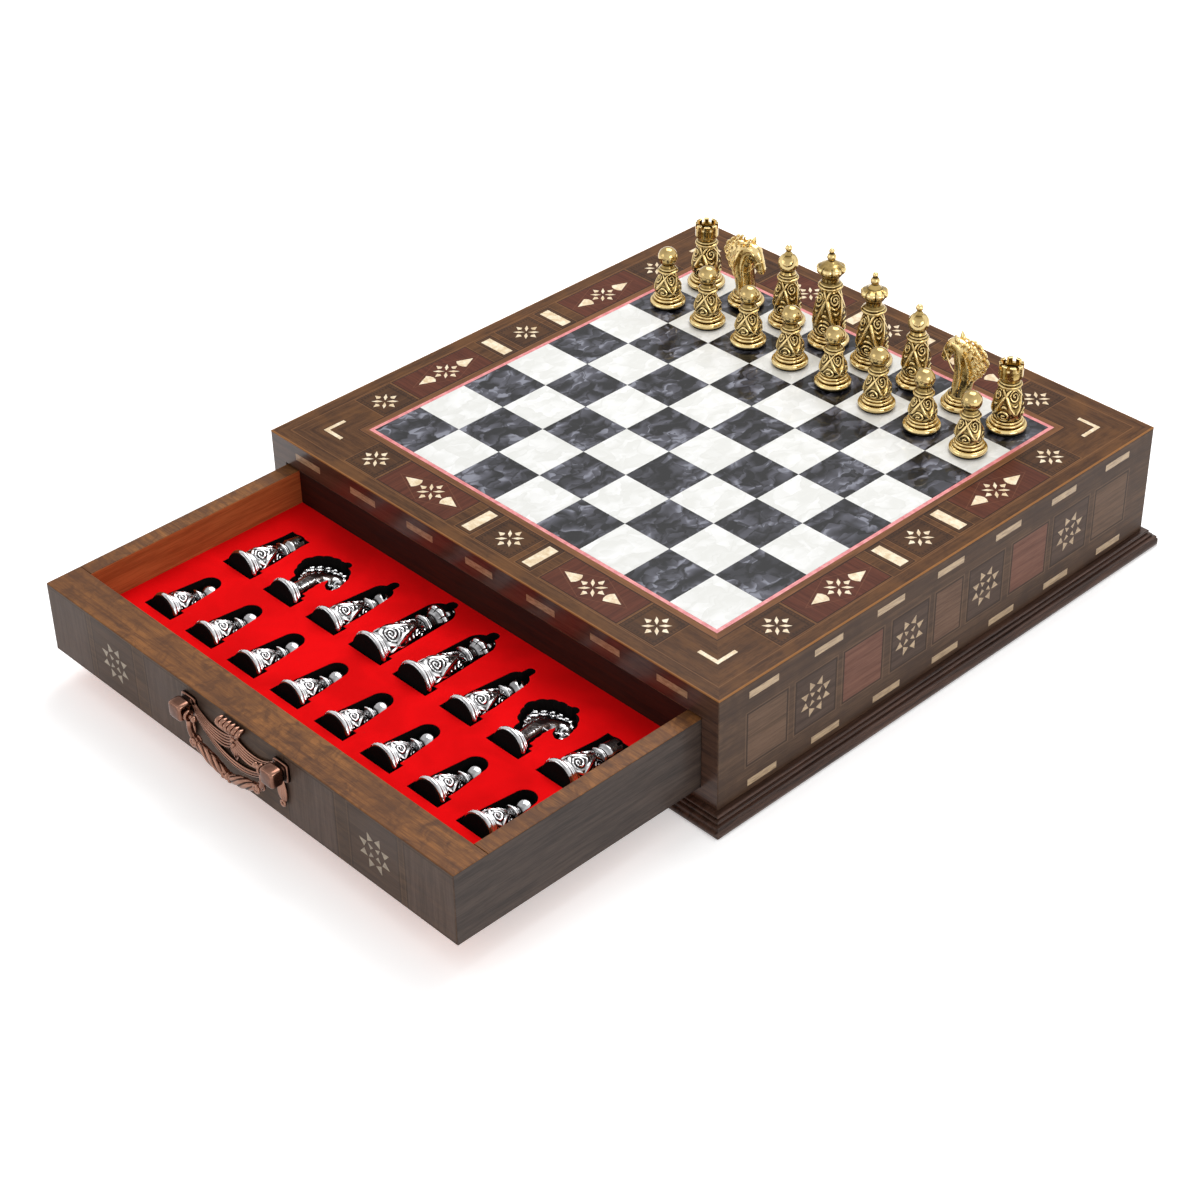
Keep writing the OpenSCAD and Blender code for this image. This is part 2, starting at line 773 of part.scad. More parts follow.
// A bail of round rod: an arm under each eye, a bend and a shallow bow. The rods end inside the
// bead or the scroll that covers each joint.
module handle_bail() {
    low_r = 48;
    bend_r = 10;
    tuck = 0.4;
    low_z = low_r - bail_drop + bail_r;
    a = asin((bail_x - bend_r) / (low_r - bend_r));
    bend_z = low_z - (low_r - bend_r) * cos(a);
    low_tuck = asin(tuck / low_r);
    bend_tuck = asin(tuck / bend_r);
    eye_r = pin_r + pin_gap + 1.7;
    arm_r = eye_t / 2 - 0.1;
    arm_top = -(pin_r + pin_gap + eye_r) / 2;
    color(copper)
        translate([0, -pin_out, post_z])
            difference() {
                union() {
                    translate([0, 0, low_z]) bent_rod(low_r, bail_r, 270 - a + low_tuck, 270 + a - low_tuck);
                    translate([0, 0, low_z - low_r])
                        rotate([0, 90, 0]) cylinder(r = bail_r + 0.9, h = 7, center = true);
                    for (m = [0, 1])
                        mirror([m, 0, 0]) {
                            translate([bail_x - bend_r, 0, bend_z])
                                bent_rod(bend_r, bail_r - 0.2, a - 90 + bend_tuck, -bend_tuck);
                            translate([low_r * sin(a), 0, low_z - low_r * cos(a)])
                                rotate([90, 0, 0])
                                    cylinder(r = bail_r + 1.4, h = 2 * bail_r + 1.2, center = true);
                            translate([bail_x, 0, bend_z]) {
                                cylinder(r = bail_r + 0.1, h = 2.4, center = true);
                                translate([0, 0, tuck]) cylinder(r = arm_r, h = arm_top - tuck - bend_z);
                            }
                            translate([bail_x - eye_t / 2, 0, 0])
                                rotate([0, 90, 0]) cylinder(r = eye_r, h = eye_t);
                        }
                }
                translate([-post_at, 0, 0])
                    rotate([0, 90, 0]) cylinder(r = pin_r + pin_gap, h = 2 * post_at);
            }
}

// ---------------------------------------------------------------- turned pieces

module turned(points) {
    rotate_extrude() polygon(points);
}

// The stepped foot that every piece stands on, with its felt pad
function foot(r) = concat(
    [[0, 0], [r - felt_in, 0], [r - felt_in, felt_t]],
    arc(r - lip_r, lip_z, lip_r, -90, 90),
    [[r - 3.4, felt_t + 4.1]],
    arc(r - 2.9, felt_t + 5.1, 0.9, -80, 90, 5),
    [[r - 4.2, felt_t + 6.1]],
    arc(r - 3.9, felt_t + 6.9, 0.8, -80, 90, 5),
    [[r - body_in, foot_h]]
);

// A flared collar with a cup over it, from the neck radius
function collar(z, neck, out) =
    [[neck, z], [out, z + 0.9], [out, z + 1.7], [out - 1.4, z + 2.3], [out - 0.9, z + 3], [out - 2, z + 3.8]];

module pawn() {
    ball_z = pawn_h - 2 * ball_r;
    union() {
        turned(concat(foot(pawn_r), pawn_body(), collar(pawn_neck(), 4.4, ball_r + 0.2),
            [[3.6, ball_z + 0.6], [0, ball_z + 0.6]]));
        translate([0, 0, pawn_h - ball_r]) sphere(ball_r);
    }
}

module rook() {
    cup_z = rook_h - 11;
    difference() {
        turned(concat(foot(rook_r), rook_body(), collar(rook_neck(), 6, cup_r),
            [[cup_r - 1.4, cup_z], [cup_r, cup_z + 2.4], [cup_r, rook_h], [0, rook_h]]));
        translate([0, 0, rook_h - 5.5]) cylinder(r = cup_r - 2, h = 6);
        for (a = [22.5:45:157.5])
            rotate(a)
                translate([-cup_r - 1, -1, rook_h - 3.2]) cube([2 * cup_r + 2, 2, 4]);
    }
}

module bishop() {
    head_z = bishop_h - 12.6;
    difference() {
        union() {
            turned(concat(foot(bishop_r), bishop_body(), collar(bishop_neck(), 5.6, 7),
                [[5.2, head_z - 7]], arc(0, head_z, mitre_r, -50, 62, 9),
                [[1.3, bishop_h - 4.2], [0, bishop_h - 4.2]]));
            translate([0, 0, bishop_h - bishop_tip_r]) sphere(bishop_tip_r);
        }
        rotate(-55)
            translate([4.2, 0, head_z + 2.2])
                rotate([0, -38, 0]) cube([1.7, 20, 11], center = true);
    }
}

// King and queen: a stem that flares to a round cap, creased into eight lobes, with a finial on it
module crowned(h, cap_r, body, stem_r, dome_h) {
    cap_z = h - cap_drop;
    neck_z = crowned_neck(h);
    crease_r = 1;
    difference() {
        union() {
            turned(concat(foot(king_r), body,
                collar(neck_z, stem_r + 1, 8), [[stem_r, neck_z + 4.9], [stem_r, cap_z - 5.4],
                [stem_r + 1, cap_z - 4.4]], arc(cap_r - 2.2, cap_z, 2.2, -70, 70),
                [[4.6, cap_z + dome_h], [2, h - 2 * finial_r - 2.4], [0, h - 2 * finial_r - 2.4]]));
            translate([0, 0, h - finial_r - 3]) sphere(finial_r);
            translate([0, 0, h - 1.8]) sphere(1.8);
        }
        for (a = [0:45:315])
            rotate(a)
                translate([cap_r + 0.15, 0, cap_z - 3]) cylinder(r = crease_r, h = 6);
    }
}

module queen() {
    crowned(queen_h, queen_cap_r, queen_body(), queen_stem_r, 3.3);
}

module king() {
    crowned(king_h, king_cap_r, king_body(), king_stem_r, 4.1);
}

// Knight: ring sections swept from the foot up the neck, over the poll and down to the muzzle.
// Each station is [x, z, half depth, half thickness, direction of the spine], for a neck that is
// drawn_neck_h high.
knight_stations = [
    [0, 0, 6.6, 7, 90], [-0.6, 5, 6.4, 6.6, 94], [-1.6, 10.6, 6.8, 6.4, 97], [-2.6, 16.4, 7.4, 6.3, 94],
    [-2.4, 22.2, 7.8, 5.9, 84], [-0.4, 27.4, 7.4, 5.4, 62], [2.6, 31, 6.4, 4.8, 30],
    [6.4, 31.4, 5.6, 4.3, -14], [9.6, 28.6, 4.6, 3.6, -46], [11.8, 24.8, 3.5, 3, -62],
    [13.2, 21.2, 3.1, 2.8, -66], [14, 19.2, 1.7, 1.6, -66]
];
knight_sides = 12;

function knight_h() = foot_h + knight_neck_h + 9.7;
function knight_lift() = knight_neck_h - drawn_neck_h;

function ring(s, lift) =
    [for (k = [0:knight_sides - 1])
        let (a = 360 * k / knight_sides)
        [s[0] + s[2] * cos(a) * sin(s[4]), s[3] * sin(a), lift * s[1] - s[2] * cos(a) * cos(s[4])]];

// The room that the neck and head need in profile
module knight_profile(grow) {
    for (s = knight_stations)
        translate([s[0], neck_base + s[1] * knight_neck_h / drawn_neck_h]) circle(s[2] + grow);
}

module knight_neck() {
    n = knight_sides;
    last = len(knight_stations) - 1;
    lift = knight_neck_h / drawn_neck_h;
    points = [for (s = knight_stations) each ring(s, lift)];
    walls = [for (i = [0:last - 1], k = [0:n - 1])
        let (a = i * n + k, b = i * n + (k + 1) % n)
        each [[a, a + n, b], [b, a + n, b + n]]];
    ends = [[for (k = [0:n - 1]) k], [for (k = [0:n - 1]) (last + 1) * n - 1 - k]];
    translate([0, 0, neck_base]) polyhedron(points, concat(walls, ends));
}

// The mane: overlapping round locks along the back of the neck, in profile
mane_locks = [[4.6, 41.6], [0.4, 43.6], [-4.2, 43.6], [-8.6, 42], [-12.2, 38.8], [-14.2, 34.4],
    [-12.6, 30], [-10.2, 25.8]];
mane_lock_r = 3.8;
mane_t = 4.8;
curl_r = 3;
curl_t = 8.4;

module mane_outline(grow = 0) {
    for (p = mane_locks) translate(p) circle(mane_lock_r + grow);
    polygon(concat(mane_locks, [[-4, 21], [0, 29.6], [4, 35.6]]));
}

module knight() {
    union() {
        turned(concat(foot(bishop_r), [[7.5, foot_h], [6.4, foot_h + 1.2], [0, foot_h + 1.2]]));
        knight_neck();
        translate([0, mane_t / 2, knight_lift()])
            rotate([90, 0, 0]) linear_extrude(mane_t) mane_outline();
        for (i = [2:7])
            translate([mane_locks[i][0], curl_t / 2, mane_locks[i][1] + knight_lift()])
                rotate([90, 0, 0]) cylinder(r = curl_r, h = curl_t);
        for (s = [-1, 1])
            translate([ear_x, s * ear_out, knight_neck_h + foot_h + 3.4])
                rotate([s * -ear_splay, 14, 0]) cylinder(r1 = ear_r, r2 = ear_tip_r, h = ear_h);
    }
}

// ---------------------------------------------------------------- where the pieces are

// Stands a piece on a square of the board
module on_square(i, j) {
    color(gold) translate([file_x[i] * square, file_x[j] * square, case_h]) children();
}

// Lays a piece in its pocket, head towards the drawer's back
module in_pocket(i, y, lie) {
    color(silver)
        at_front()
            translate([file_x[i] * pocket_pitch, y, pocket_z + lie_gap + lie_up(lie)])
                rotate([-90 - lie_tilt(lie), 0, 0]) children();
}

module officer_in_pocket(i, lie) {
    in_pocket(i, officer_at, lie) children();
}

module silver_pawn(i) {
    in_pocket(i, pawn_at, pawn_lie) pawn();
}

// ---------------------------------------------------------------- nodes

base_board();
case_floor();
left_side();
right_side();
centre_divider();
top_board();
border_veneer();
bone_inlays();
field_stringing();
light_squares();
dark_squares();
at_front() drawer_front();  // front_drawer_front
at_front() drawer_walls();  // front_drawer_walls
at_front() drawer_bottom();  // front_drawer_bottom
at_front() pawn_bed();  // front_pawn_bed
at_front() officer_bed();  // front_officer_bed
at_front() drawer_inlays();  // front_drawer_inlays
at_front() handle_plate();  // front_handle_plate
at_front() handle_bail();  // front_handle_bail
at_rear() drawer_front();  // rear_drawer_front
at_rear() drawer_walls();  // rear_drawer_walls
at_rear() drawer_bottom();  // rear_drawer_bottom
at_rear() pawn_bed();  // rear_pawn_bed
at_rear() officer_bed();  // rear_officer_bed
at_rear() drawer_inlays();  // rear_drawer_inlays
at_rear() handle_plate();  // rear_handle_plate
at_rear() handle_bail();  // rear_handle_bail
on_square(0, 7) rook();  // gold_rook_a
on_square(1, 7) knight();  // gold_knight_b
on_square(2, 7) bishop();  // gold_bishop_c
on_square(3, 7) king();  // gold_king
on_square(4, 7) queen();  // gold_queen
on_square(5, 7) bishop();  // gold_bishop_f
on_square(6, 7) mirror([1, 0, 0]) knight();  // gold_knight_g
on_square(7, 7) rook();  // gold_rook_h
on_square(0, 6) pawn();  // gold_pawn_a
on_square(1, 6) pawn();  // gold_pawn_b
on_square(2, 6) pawn();  // gold_pawn_c
on_square(3, 6) pawn();  // gold_pawn_d
on_square(4, 6) pawn();  // gold_pawn_e
on_square(5, 6) pawn();  // gold_pawn_f
on_square(6, 6) pawn();  // gold_pawn_g
on_square(7, 6) pawn();  // gold_pawn_h
officer_in_pocket(0, rook_lie) rook();  // silver_rook_a
officer_in_pocket(1, knight_lie) knight();  // silver_knight_b
officer_in_pocket(2, bishop_lie) bishop();  // silver_bishop_c
officer_in_pocket(3, king_lie) king();  // silver_king
officer_in_pocket(4, queen_lie) queen();  // silver_queen
officer_in_pocket(5, bishop_lie) bishop();  // silver_bishop_f
officer_in_pocket(6, knight_lie) knight();  // silver_knight_g
officer_in_pocket(7, rook_lie) rook();  // silver_rook_h
silver_pawn(0);  // silver_pawn_a
silver_pawn(1);  // silver_pawn_b
silver_pawn(2);  // silver_pawn_c
silver_pawn(3);  // silver_pawn_d
silver_pawn(4);  // silver_pawn_e
silver_pawn(5);  // silver_pawn_f
silver_pawn(6);  // silver_pawn_g
silver_pawn(7);  // silver_pawn_h
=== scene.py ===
"""Looks of the inlaid chess box: materials, velvet beds, metal pieces and handles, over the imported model.

Mesh builders and materials work in millimetres, and everything is in the box's own frame:
X along the drawer fronts, Y from front to back, Z up from the table.
"""

import json
import math

import bmesh
import bpy
import numpy as np
from mathutils import Matrix, Vector

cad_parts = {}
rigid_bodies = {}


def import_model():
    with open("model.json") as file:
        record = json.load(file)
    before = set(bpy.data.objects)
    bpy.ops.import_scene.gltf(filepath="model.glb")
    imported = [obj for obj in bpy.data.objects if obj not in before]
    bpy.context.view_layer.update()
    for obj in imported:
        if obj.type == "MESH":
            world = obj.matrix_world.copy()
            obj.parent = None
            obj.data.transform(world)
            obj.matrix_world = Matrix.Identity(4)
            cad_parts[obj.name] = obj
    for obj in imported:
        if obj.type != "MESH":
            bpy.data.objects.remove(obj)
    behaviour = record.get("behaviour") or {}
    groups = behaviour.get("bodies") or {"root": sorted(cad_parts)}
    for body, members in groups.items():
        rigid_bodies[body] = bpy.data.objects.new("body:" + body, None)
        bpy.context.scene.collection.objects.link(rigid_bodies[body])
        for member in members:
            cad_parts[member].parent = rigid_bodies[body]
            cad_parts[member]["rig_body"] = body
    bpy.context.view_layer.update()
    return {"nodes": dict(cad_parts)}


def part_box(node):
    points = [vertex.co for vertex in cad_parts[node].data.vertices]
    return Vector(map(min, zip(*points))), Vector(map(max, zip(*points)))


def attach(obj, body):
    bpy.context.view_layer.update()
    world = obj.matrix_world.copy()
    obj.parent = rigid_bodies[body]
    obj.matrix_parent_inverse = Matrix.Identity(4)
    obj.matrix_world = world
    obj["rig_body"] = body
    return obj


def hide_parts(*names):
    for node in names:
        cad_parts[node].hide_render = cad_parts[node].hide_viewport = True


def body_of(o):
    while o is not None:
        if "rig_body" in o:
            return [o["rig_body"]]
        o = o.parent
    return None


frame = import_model()

MM = 0.001
TAU = 2 * math.pi

# Sizes of the box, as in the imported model
SQUARE = 36.0
FIELD_HALF = 144.0
BORDER_IN = 146.6
CASE_HALF = 189.0
CASE_H = 86.0
VENEER_Z = 85.2
FRONT_Y = -364.0
VELVET_Z = 43.9
POCKET_Z = 28.9
PAWN_AT = 48.6
OFFICER_AT = 105.4
PAWN_RANK = 90.0
OFFICER_RANK = 126.0
POCKET_PITCH = 39.0

# Plots of the border's veneer: middle along and across, then half length and half width
INLAY_MID = 18.2
RED_BLOCK = (70.7, 18.4, 30.5, 13.6)
BAR_PLOT = (25.5, INLAY_MID, 6.0, 13.2)
MID_STAR_PLOT = (0, INLAY_MID, 14.2, 13.6)
END_STAR_PLOT = (116.8, INLAY_MID, 13.4, 13.6)

# Plots of the walls and drawer fronts: (middle, half width, wood), mirrored about the middle
WALL_PLOT_Z, WALL_PLOT_HALF = 47.2, 17.5
WALL_PLOTS = [
    (0, 11.5, "brown"), (33.5, 15, "star"), (73.2, 16, "red"), (112.1, 16, "star"), (151, 15.5, "olive")]
# Ribbons that hold the side walls' bars: (middle, half width) up the wall, and a line beside each
BAR_RIBBONS = [(77.4, 5.2), (17.0, 4.6)]
RIBBON_LINES = [71.8, 22.2]
DRAWER_PLOT_Z, DRAWER_PLOT_HALF = 43.5, 21.5
DRAWER_PLOTS = [(62, 20, "smoke"), (113.4, 19, "star"), (158, 19.5, "smoke")]
PLOT_WOODS = {
    "red": ((88, 54, 42), (124, 84, 68)),
    "brown": ((80, 56, 42), (118, 90, 72)),
    "olive": ((74, 55, 40), (110, 84, 66)),
    "star": ((56, 41, 33), (86, 67, 56)),
    "smoke": ((62, 48, 42), (104, 85, 76)),
}


# ---------------------------------------------------------------- materials


def operator(operation, swapped=False):
    """A method that adds one Math node. The value itself comes first, or second where swapped."""

    def act(self, other=None):
        a, b = (other, self) if swapped else (self, other)
        return self.paint.math(operation, a, b)

    return act


class Val:
    """A number or vector socket of a material, with the usual operators."""

    def __init__(self, paint, socket):
        self.paint = paint
        self.socket = socket

    __add__ = __radd__ = operator("ADD")
    __sub__ = operator("SUBTRACT")
    __rsub__ = operator("SUBTRACT", swapped=True)
    __mul__ = __rmul__ = operator("MULTIPLY")
    __truediv__ = operator("DIVIDE")
    __abs__ = operator("ABSOLUTE")
    floor = operator("FLOOR")
    fract = operator("FRACT")
    sine = operator("SINE")
    cosine = operator("COSINE")
    max = operator("MAXIMUM")
    min = operator("MINIMUM")

    def rise(self, low, high):
        """0 below low, 1 above high, smooth between. With low over high it falls."""
        return self.paint.map_range(self, low, high)

    def band(self, at, half, soft=0.15):
        """1 within half of a value, 0 away from it."""
        return abs(self - at).rise(half + soft, half - soft)


def srgb(r, g, b):
    """A linear colour from 0-255 screen values."""
    return tuple((c / 255 / 12.92) if c < 10.4 else ((c / 255 + 0.055) / 1.055) ** 2.4 for c in (r, g, b))


class Paint:
    """A node material whose formulas are written as calls. Object coordinates come in millimetres."""

    def __init__(self, name, rough=0.5, metal=0.0, coat=0.0, coat_rough=0.06, specular=0.5):
        self.material = bpy.data.materials.new(name)
        self.material.use_nodes = True
        self.tree = self.material.node_tree
        self.tree.nodes.clear()
        output = self.node("OutputMaterial")
        self.shader = self.node("BsdfPrincipled")
        self.tree.links.new(self.shader.outputs[0], output.inputs[0])
        for socket, value in {
            "Roughness": rough,
            "Metallic": metal,
            "Coat Weight": coat,
            "Coat Roughness": coat_rough,
            "Specular IOR Level": specular,
        }.items():
            self.shader.inputs[socket].default_value = value
        coords = self.node("TexCoord")
        scaled = self.node("VectorMath", operation="SCALE")
        scaled.inputs["Scale"].default_value = 1 / MM
        self.tree.links.new(coords.outputs["Object"], scaled.inputs[0])
        self.point = Val(self, scaled.outputs[0])
        self.x, self.y, self.z = self.parts(self.point)

    def node(self, kind, **settings):
        made = self.tree.nodes.new("ShaderNode" + kind)
        for key, value in settings.items():
            setattr(made, key, value)
        return made

    def feed(self, socket, value):
        if isinstance(value, Val):
            self.tree.links.new(value.socket, socket)
        elif isinstance(value, tuple):
            socket.default_value = (*value, 1.0) if len(socket.default_value) == 4 else value
        else:
            socket.default_value = value

    def math(self, operation, a, b=None):
        made = self.node("Math", operation=operation)
        self.feed(made.inputs[0], a)
        if b is not None:
            self.feed(made.inputs[1], b)
        return Val(self, made.outputs[0])

    def map_range(self, value, low, high):
        falling = low > high
        made = self.node("MapRange", interpolation_type="SMOOTHSTEP")
        self.feed(made.inputs["Value"], value)
        made.inputs["From Min"].default_value = min(low, high)
        made.inputs["From Max"].default_value = max(low, high)
        made.inputs["To Min"].default_value = 1.0 if falling else 0.0
        made.inputs["To Max"].default_value = 0.0 if falling else 1.0
        return Val(self, made.outputs[0])

    def vector(self, x, y, z):
        made = self.node("CombineXYZ")
        for socket, value in zip(made.inputs, (x, y, z)):
            self.feed(socket, value)
        return Val(self, made.outputs[0])

    def parts(self, value):
        made = self.node("SeparateXYZ")
        self.feed(made.inputs[0], value)
        return tuple(Val(self, made.outputs[i]) for i in range(3))

    def noise(self, scale, detail=3.0, rough=0.5, twist=0.0, at=None):
        made = self.node("TexNoise")
        self.feed(made.inputs["Vector"], at or self.point)
        made.inputs["Scale"].default_value = scale
        made.inputs["Detail"].default_value = detail
        made.inputs["Roughness"].default_value = rough
        made.inputs["Distortion"].default_value = twist
        return Val(self, made.outputs[0])

    def cells(self, sheet, scale, feature="F1"):
        made = self.node("TexVoronoi", feature=feature)
        self.feed(made.inputs["Vector"], sheet)
        made.inputs["Scale"].default_value = scale
        return {output.name: Val(self, output) for output in made.outputs}

    def random(self, x, y, z):
        made = self.node("TexWhiteNoise", noise_dimensions="3D")
        self.feed(made.inputs["Vector"], self.vector(x, y, z))
        return Val(self, made.outputs["Value"])

    def attribute(self, name):
        made = self.node("Attribute", attribute_name=name)
        return Val(self, made.outputs["Fac"])

    def mix(self, share, a, b):
        """Colour between two linear colours or sockets."""
        made = self.node("Mix", data_type="RGBA")
        self.feed(made.inputs[0], share)
        self.feed(made.inputs[6], a)
        self.feed(made.inputs[7], b)
        return Val(self, made.outputs[2])

    def start(self, share, dark, light):
        """Begins the colour as a play between two screen colours."""
        self.tone = self.mix(share, srgb(*dark), srgb(*light))

    def lay(self, share, shade):
        """Covers a share of the colour so far with a screen colour or a socket."""
        self.tone = self.mix(share, self.tone, srgb(*shade) if isinstance(shade, tuple) else shade)

    def done(self, rough=None, height=None, depth=0.0):
        """The material with its colour. height, from 0 to 1, becomes a relief of depth millimetres."""
        self.feed(self.shader.inputs["Base Color"], self.tone)
        if rough is not None:
            self.feed(self.shader.inputs["Roughness"], rough)
        if height is not None:
            made = self.node("Bump")
            made.inputs["Distance"].default_value = depth * MM
            self.feed(made.inputs["Height"], height)
            self.tree.links.new(made.outputs[0], self.shader.inputs["Normal"])
        return self.material


def grain(p, along, across, third, fine=1.0):
    """Wood fibres: long streaks and short pores, from 0 to 1."""
    streaks = p.noise(1.0, 4, 0.6, 0.4, p.vector(along * 0.018, across * 0.32 * fine, third * 0.32))
    pores = p.noise(1.0, 2, 0.6, 0.0, p.vector(along * 0.12, across * 2.1 * fine, third * 2.1))
    return streaks * 0.65 + pores * 0.35


def box_edge(u, v, mid_u, mid_v, half_u, half_v):
    """Distance outside a rectangle: negative within it."""
    return (abs(u - mid_u) - half_u).max(abs(v - mid_v) - half_v)


def border_paint():
    """Veneer of the playing board's border, laid out along each side."""
    p = Paint("border_veneer_wood", rough=0.42, coat=0.04, coat_rough=0.14, specular=0.06)
    u = abs(p.x).min(abs(p.y))
    v = abs(p.x).max(abs(p.y)) - BORDER_IN
    sideways = (abs(p.x) - abs(p.y)).rise(-0.01, 0.01)
    along = p.x * (1 - sideways) + p.y * sideways
    across = p.y * (1 - sideways) + p.x * sideways
    fibre = grain(p, along, across, p.z)
    fleck = p.noise(0.5, 3, 0.65, 0.6, p.vector(along * 0.35, across * 1.3, 0))
    cloud = p.noise(0.035, 3, 0.55, 0.4)
    p.start(fibre.rise(0.3, 0.7), (62, 38, 22), (104, 70, 43))
    p.lay(fleck.rise(0.45, 0.75) * 0.5, (52, 33, 23))
    p.lay(cloud.rise(0.45, 0.7) * 0.5, (116, 77, 42))
    # Reddish block behind each diamond
    block = box_edge(u, v, *RED_BLOCK)
    red_fibre = grain(p, across, along, p.z, 1.6)
    p.lay(block.rise(0.1, -0.1), p.mix(red_fibre.rise(0.3, 0.7), srgb(72, 36, 25), srgb(100, 54, 38)))
    # Framed plots behind the bars and the stars
    star_plots = box_edge(u, v, *MID_STAR_PLOT), box_edge(u, v, *END_STAR_PLOT)
    plots = box_edge(u, v, *BAR_PLOT).min(star_plots[0]).min(star_plots[1])
    p.lay(plots.rise(0.1, -0.1) * 0.4, (56, 37, 26))
    # Key-pattern ribbon just inside the star plots
    keys = (along * 0.42).fract().band(0.5, 0.2, 0.06).max((across * 0.42).fract().band(0.5, 0.2, 0.06))
    ribbon = star_plots[0].min(star_plots[1]).band(-2.0, 0.9, 0.1) * keys
    p.lay(ribbon * 0.6, (36, 23, 17))
    # Fine dark and light lines round every plot and near the outer edge
    lines = plots.band(0, 0.28, 0.12).max(block.band(0, 0.3, 0.12))
    p.lay(lines * 0.8, (36, 22, 16))
    light_lines = plots.band(0.75, 0.22, 0.12).max(block.band(0.8, 0.22, 0.12))
    p.lay(light_lines.max(v.band(33.6, 0.3, 0.14)) * 0.5, (142, 98, 62))
    # Leaf arcs cut fine into the red block, from its corners to the diamond
    arcs = (abs(u - 68.4) * 0.44 + abs(v - INLAY_MID)).band(12.0, 0.22, 0.12) * block.rise(0, -0.5)
    p.lay(arcs * 0.45, (128, 84, 60))
    # Honey-coloured strip beside the field, and a painted highlight along the outer top edge
    honey = p.mix(fibre.rise(0.3, 0.7), srgb(98, 64, 40), srgb(142, 96, 62))
    p.lay(v.rise(4.4, 4.1) * 0.85, honey)
    p.lay(v.band(4.5, 0.3, 0.12), (48, 30, 22))
    # Painted highlight: a lighter band along the outer top edge.
    p.lay(v.rise(41.3, 41.8) * 0.75, (166, 114, 66))
    return p.done(fibre * 0.2 + 0.27, fibre * 0.6 + lines * -0.4, 0.12)


def wall_ground(name, dim=1.0):
    """Paint for a lacquered wall or drawer front with its ground veneer, the way along it and its fibres."""
    p = Paint(name, rough=0.5, coat=0.04, coat_rough=0.25, specular=0.12)
    normal = p.parts(Val(p, p.node("NewGeometry").outputs["True Normal"]))
    faces_x = abs(normal[0]).rise(0.5, 0.6)
    along = p.y * faces_x + p.x * (1 - faces_x)
    fibre = grain(p, along, p.z, 1.0)
    p.start(fibre.rise(0.28, 0.72), (58 * dim, 41 * dim, 30 * dim), (98 * dim, 74 * dim, 56 * dim))
    cloud = p.noise(0.05, 3, 0.6, 0.5)
    p.lay(cloud.rise(0.42, 0.66) * 0.45, (58 * dim, 42 * dim, 34 * dim))
    return p, along, fibre


def lay_plots(p, along, z_mid, half_z, plots, strength=1.0):
    """Lays framed plots of other veneers over a wall's ground colour."""
    for middle, half, kind in plots:
        edge = box_edge(abs(along), p.z, middle, z_mid, half, half_z)
        ways = (p.z, along) if kind == "smoke" else (along, p.z)
        dark, light = PLOT_WOODS[kind]
        wood = p.mix(grain(p, *ways, middle + 7.0).rise(0.28, 0.72), srgb(*dark), srgb(*light))
        p.lay(edge.rise(0.1, -0.1) * strength, wood)
        p.lay(edge.band(0.2, 0.45, 0.3) * 0.8 * strength, (38, 27, 22))
        p.lay(edge.band(1.4, 0.35, 0.25) * 0.4 * strength, (120, 92, 68))


def side_paint():
    """Side walls: four kinds of plot, and the dark ribbons that hold the bars."""
    p, along, fibre = wall_ground("side_veneer_wood")
    lay_plots(p, along, WALL_PLOT_Z, WALL_PLOT_HALF, WALL_PLOTS)
    upper, lower = (p.z.band(middle, half, 0.2) for middle, half in BAR_RIBBONS)
    p.lay(upper.max(lower) * 0.35, (58, 42, 34))
    upper, lower = (p.z.band(height, 0.25, 0.15) for height in RIBBON_LINES)
    p.lay(upper.max(lower) * 0.5, (40, 29, 24))
    return p.done(fibre * 0.2 + 0.36, fibre, 0.08)


def drawer_front_paint():
    """Drawer front boards: smoky veneer plots under a matt lacquer."""
    p, along, fibre = wall_ground("drawer_front_veneer_wood", 0.95)
    lay_plots(p, along, DRAWER_PLOT_Z, DRAWER_PLOT_HALF, DRAWER_PLOTS, 0.55)
    haze = p.noise(0.02, 3, 0.5, 0.3)
    p.lay(haze.rise(0.35, 0.7) * 0.35, (88, 77, 72))
    return p.done(fibre * 0.2 + 0.4, fibre, 0.06)


def plain_wood(name, dark, light, axis="x", rough=0.4, coat=0.25, fine=1.0, blotch=None):
    """Solid timber with its fibres along one axis, and clouds of another tone where blotch gives one."""
    p = Paint(name, rough=rough, coat=coat, coat_rough=0.2, specular=0.15)
    ways = (p.x, p.y, p.z) if axis == "x" else (p.y, p.x, p.z)
    fibre = grain(p, *ways, fine)
    p.start(fibre.rise(0.32, 0.68), dark, light)
    if blotch:
        cloud = p.noise(0.1, 5, 0.62, 0.9)
        p.lay(cloud.rise(0.4, 0.7) * 0.75, blotch)
        drift = p.noise(0.02, 2, 0.5, 0.4)
        p.lay(drift.rise(0.4, 0.65) * 0.45, dark)
        speck = p.noise(1.4, 2, 0.6, 0.3)
        p.lay(speck.rise(0.58, 0.76) * 0.55, dark)
    return p.done(fibre * 0.22 + rough - 0.08, fibre, 0.1)


def facets(p, sheet, scale):
    """Creased foil: each Voronoi plate shades from dark to light along a way of its own."""
    plate = p.cells(sheet, scale)
    plate_x, plate_y, _ = p.parts(plate["Position"])
    way, level, _ = p.parts(plate["Color"])
    x, y, _ = p.parts(sheet)
    angle = way * TAU
    slope = (x - plate_x) * angle.cosine() + (y - plate_y) * angle.sine()
    return (slope * scale * 1.1 + level * 0.5 + 0.25).rise(0.0, 1.0)


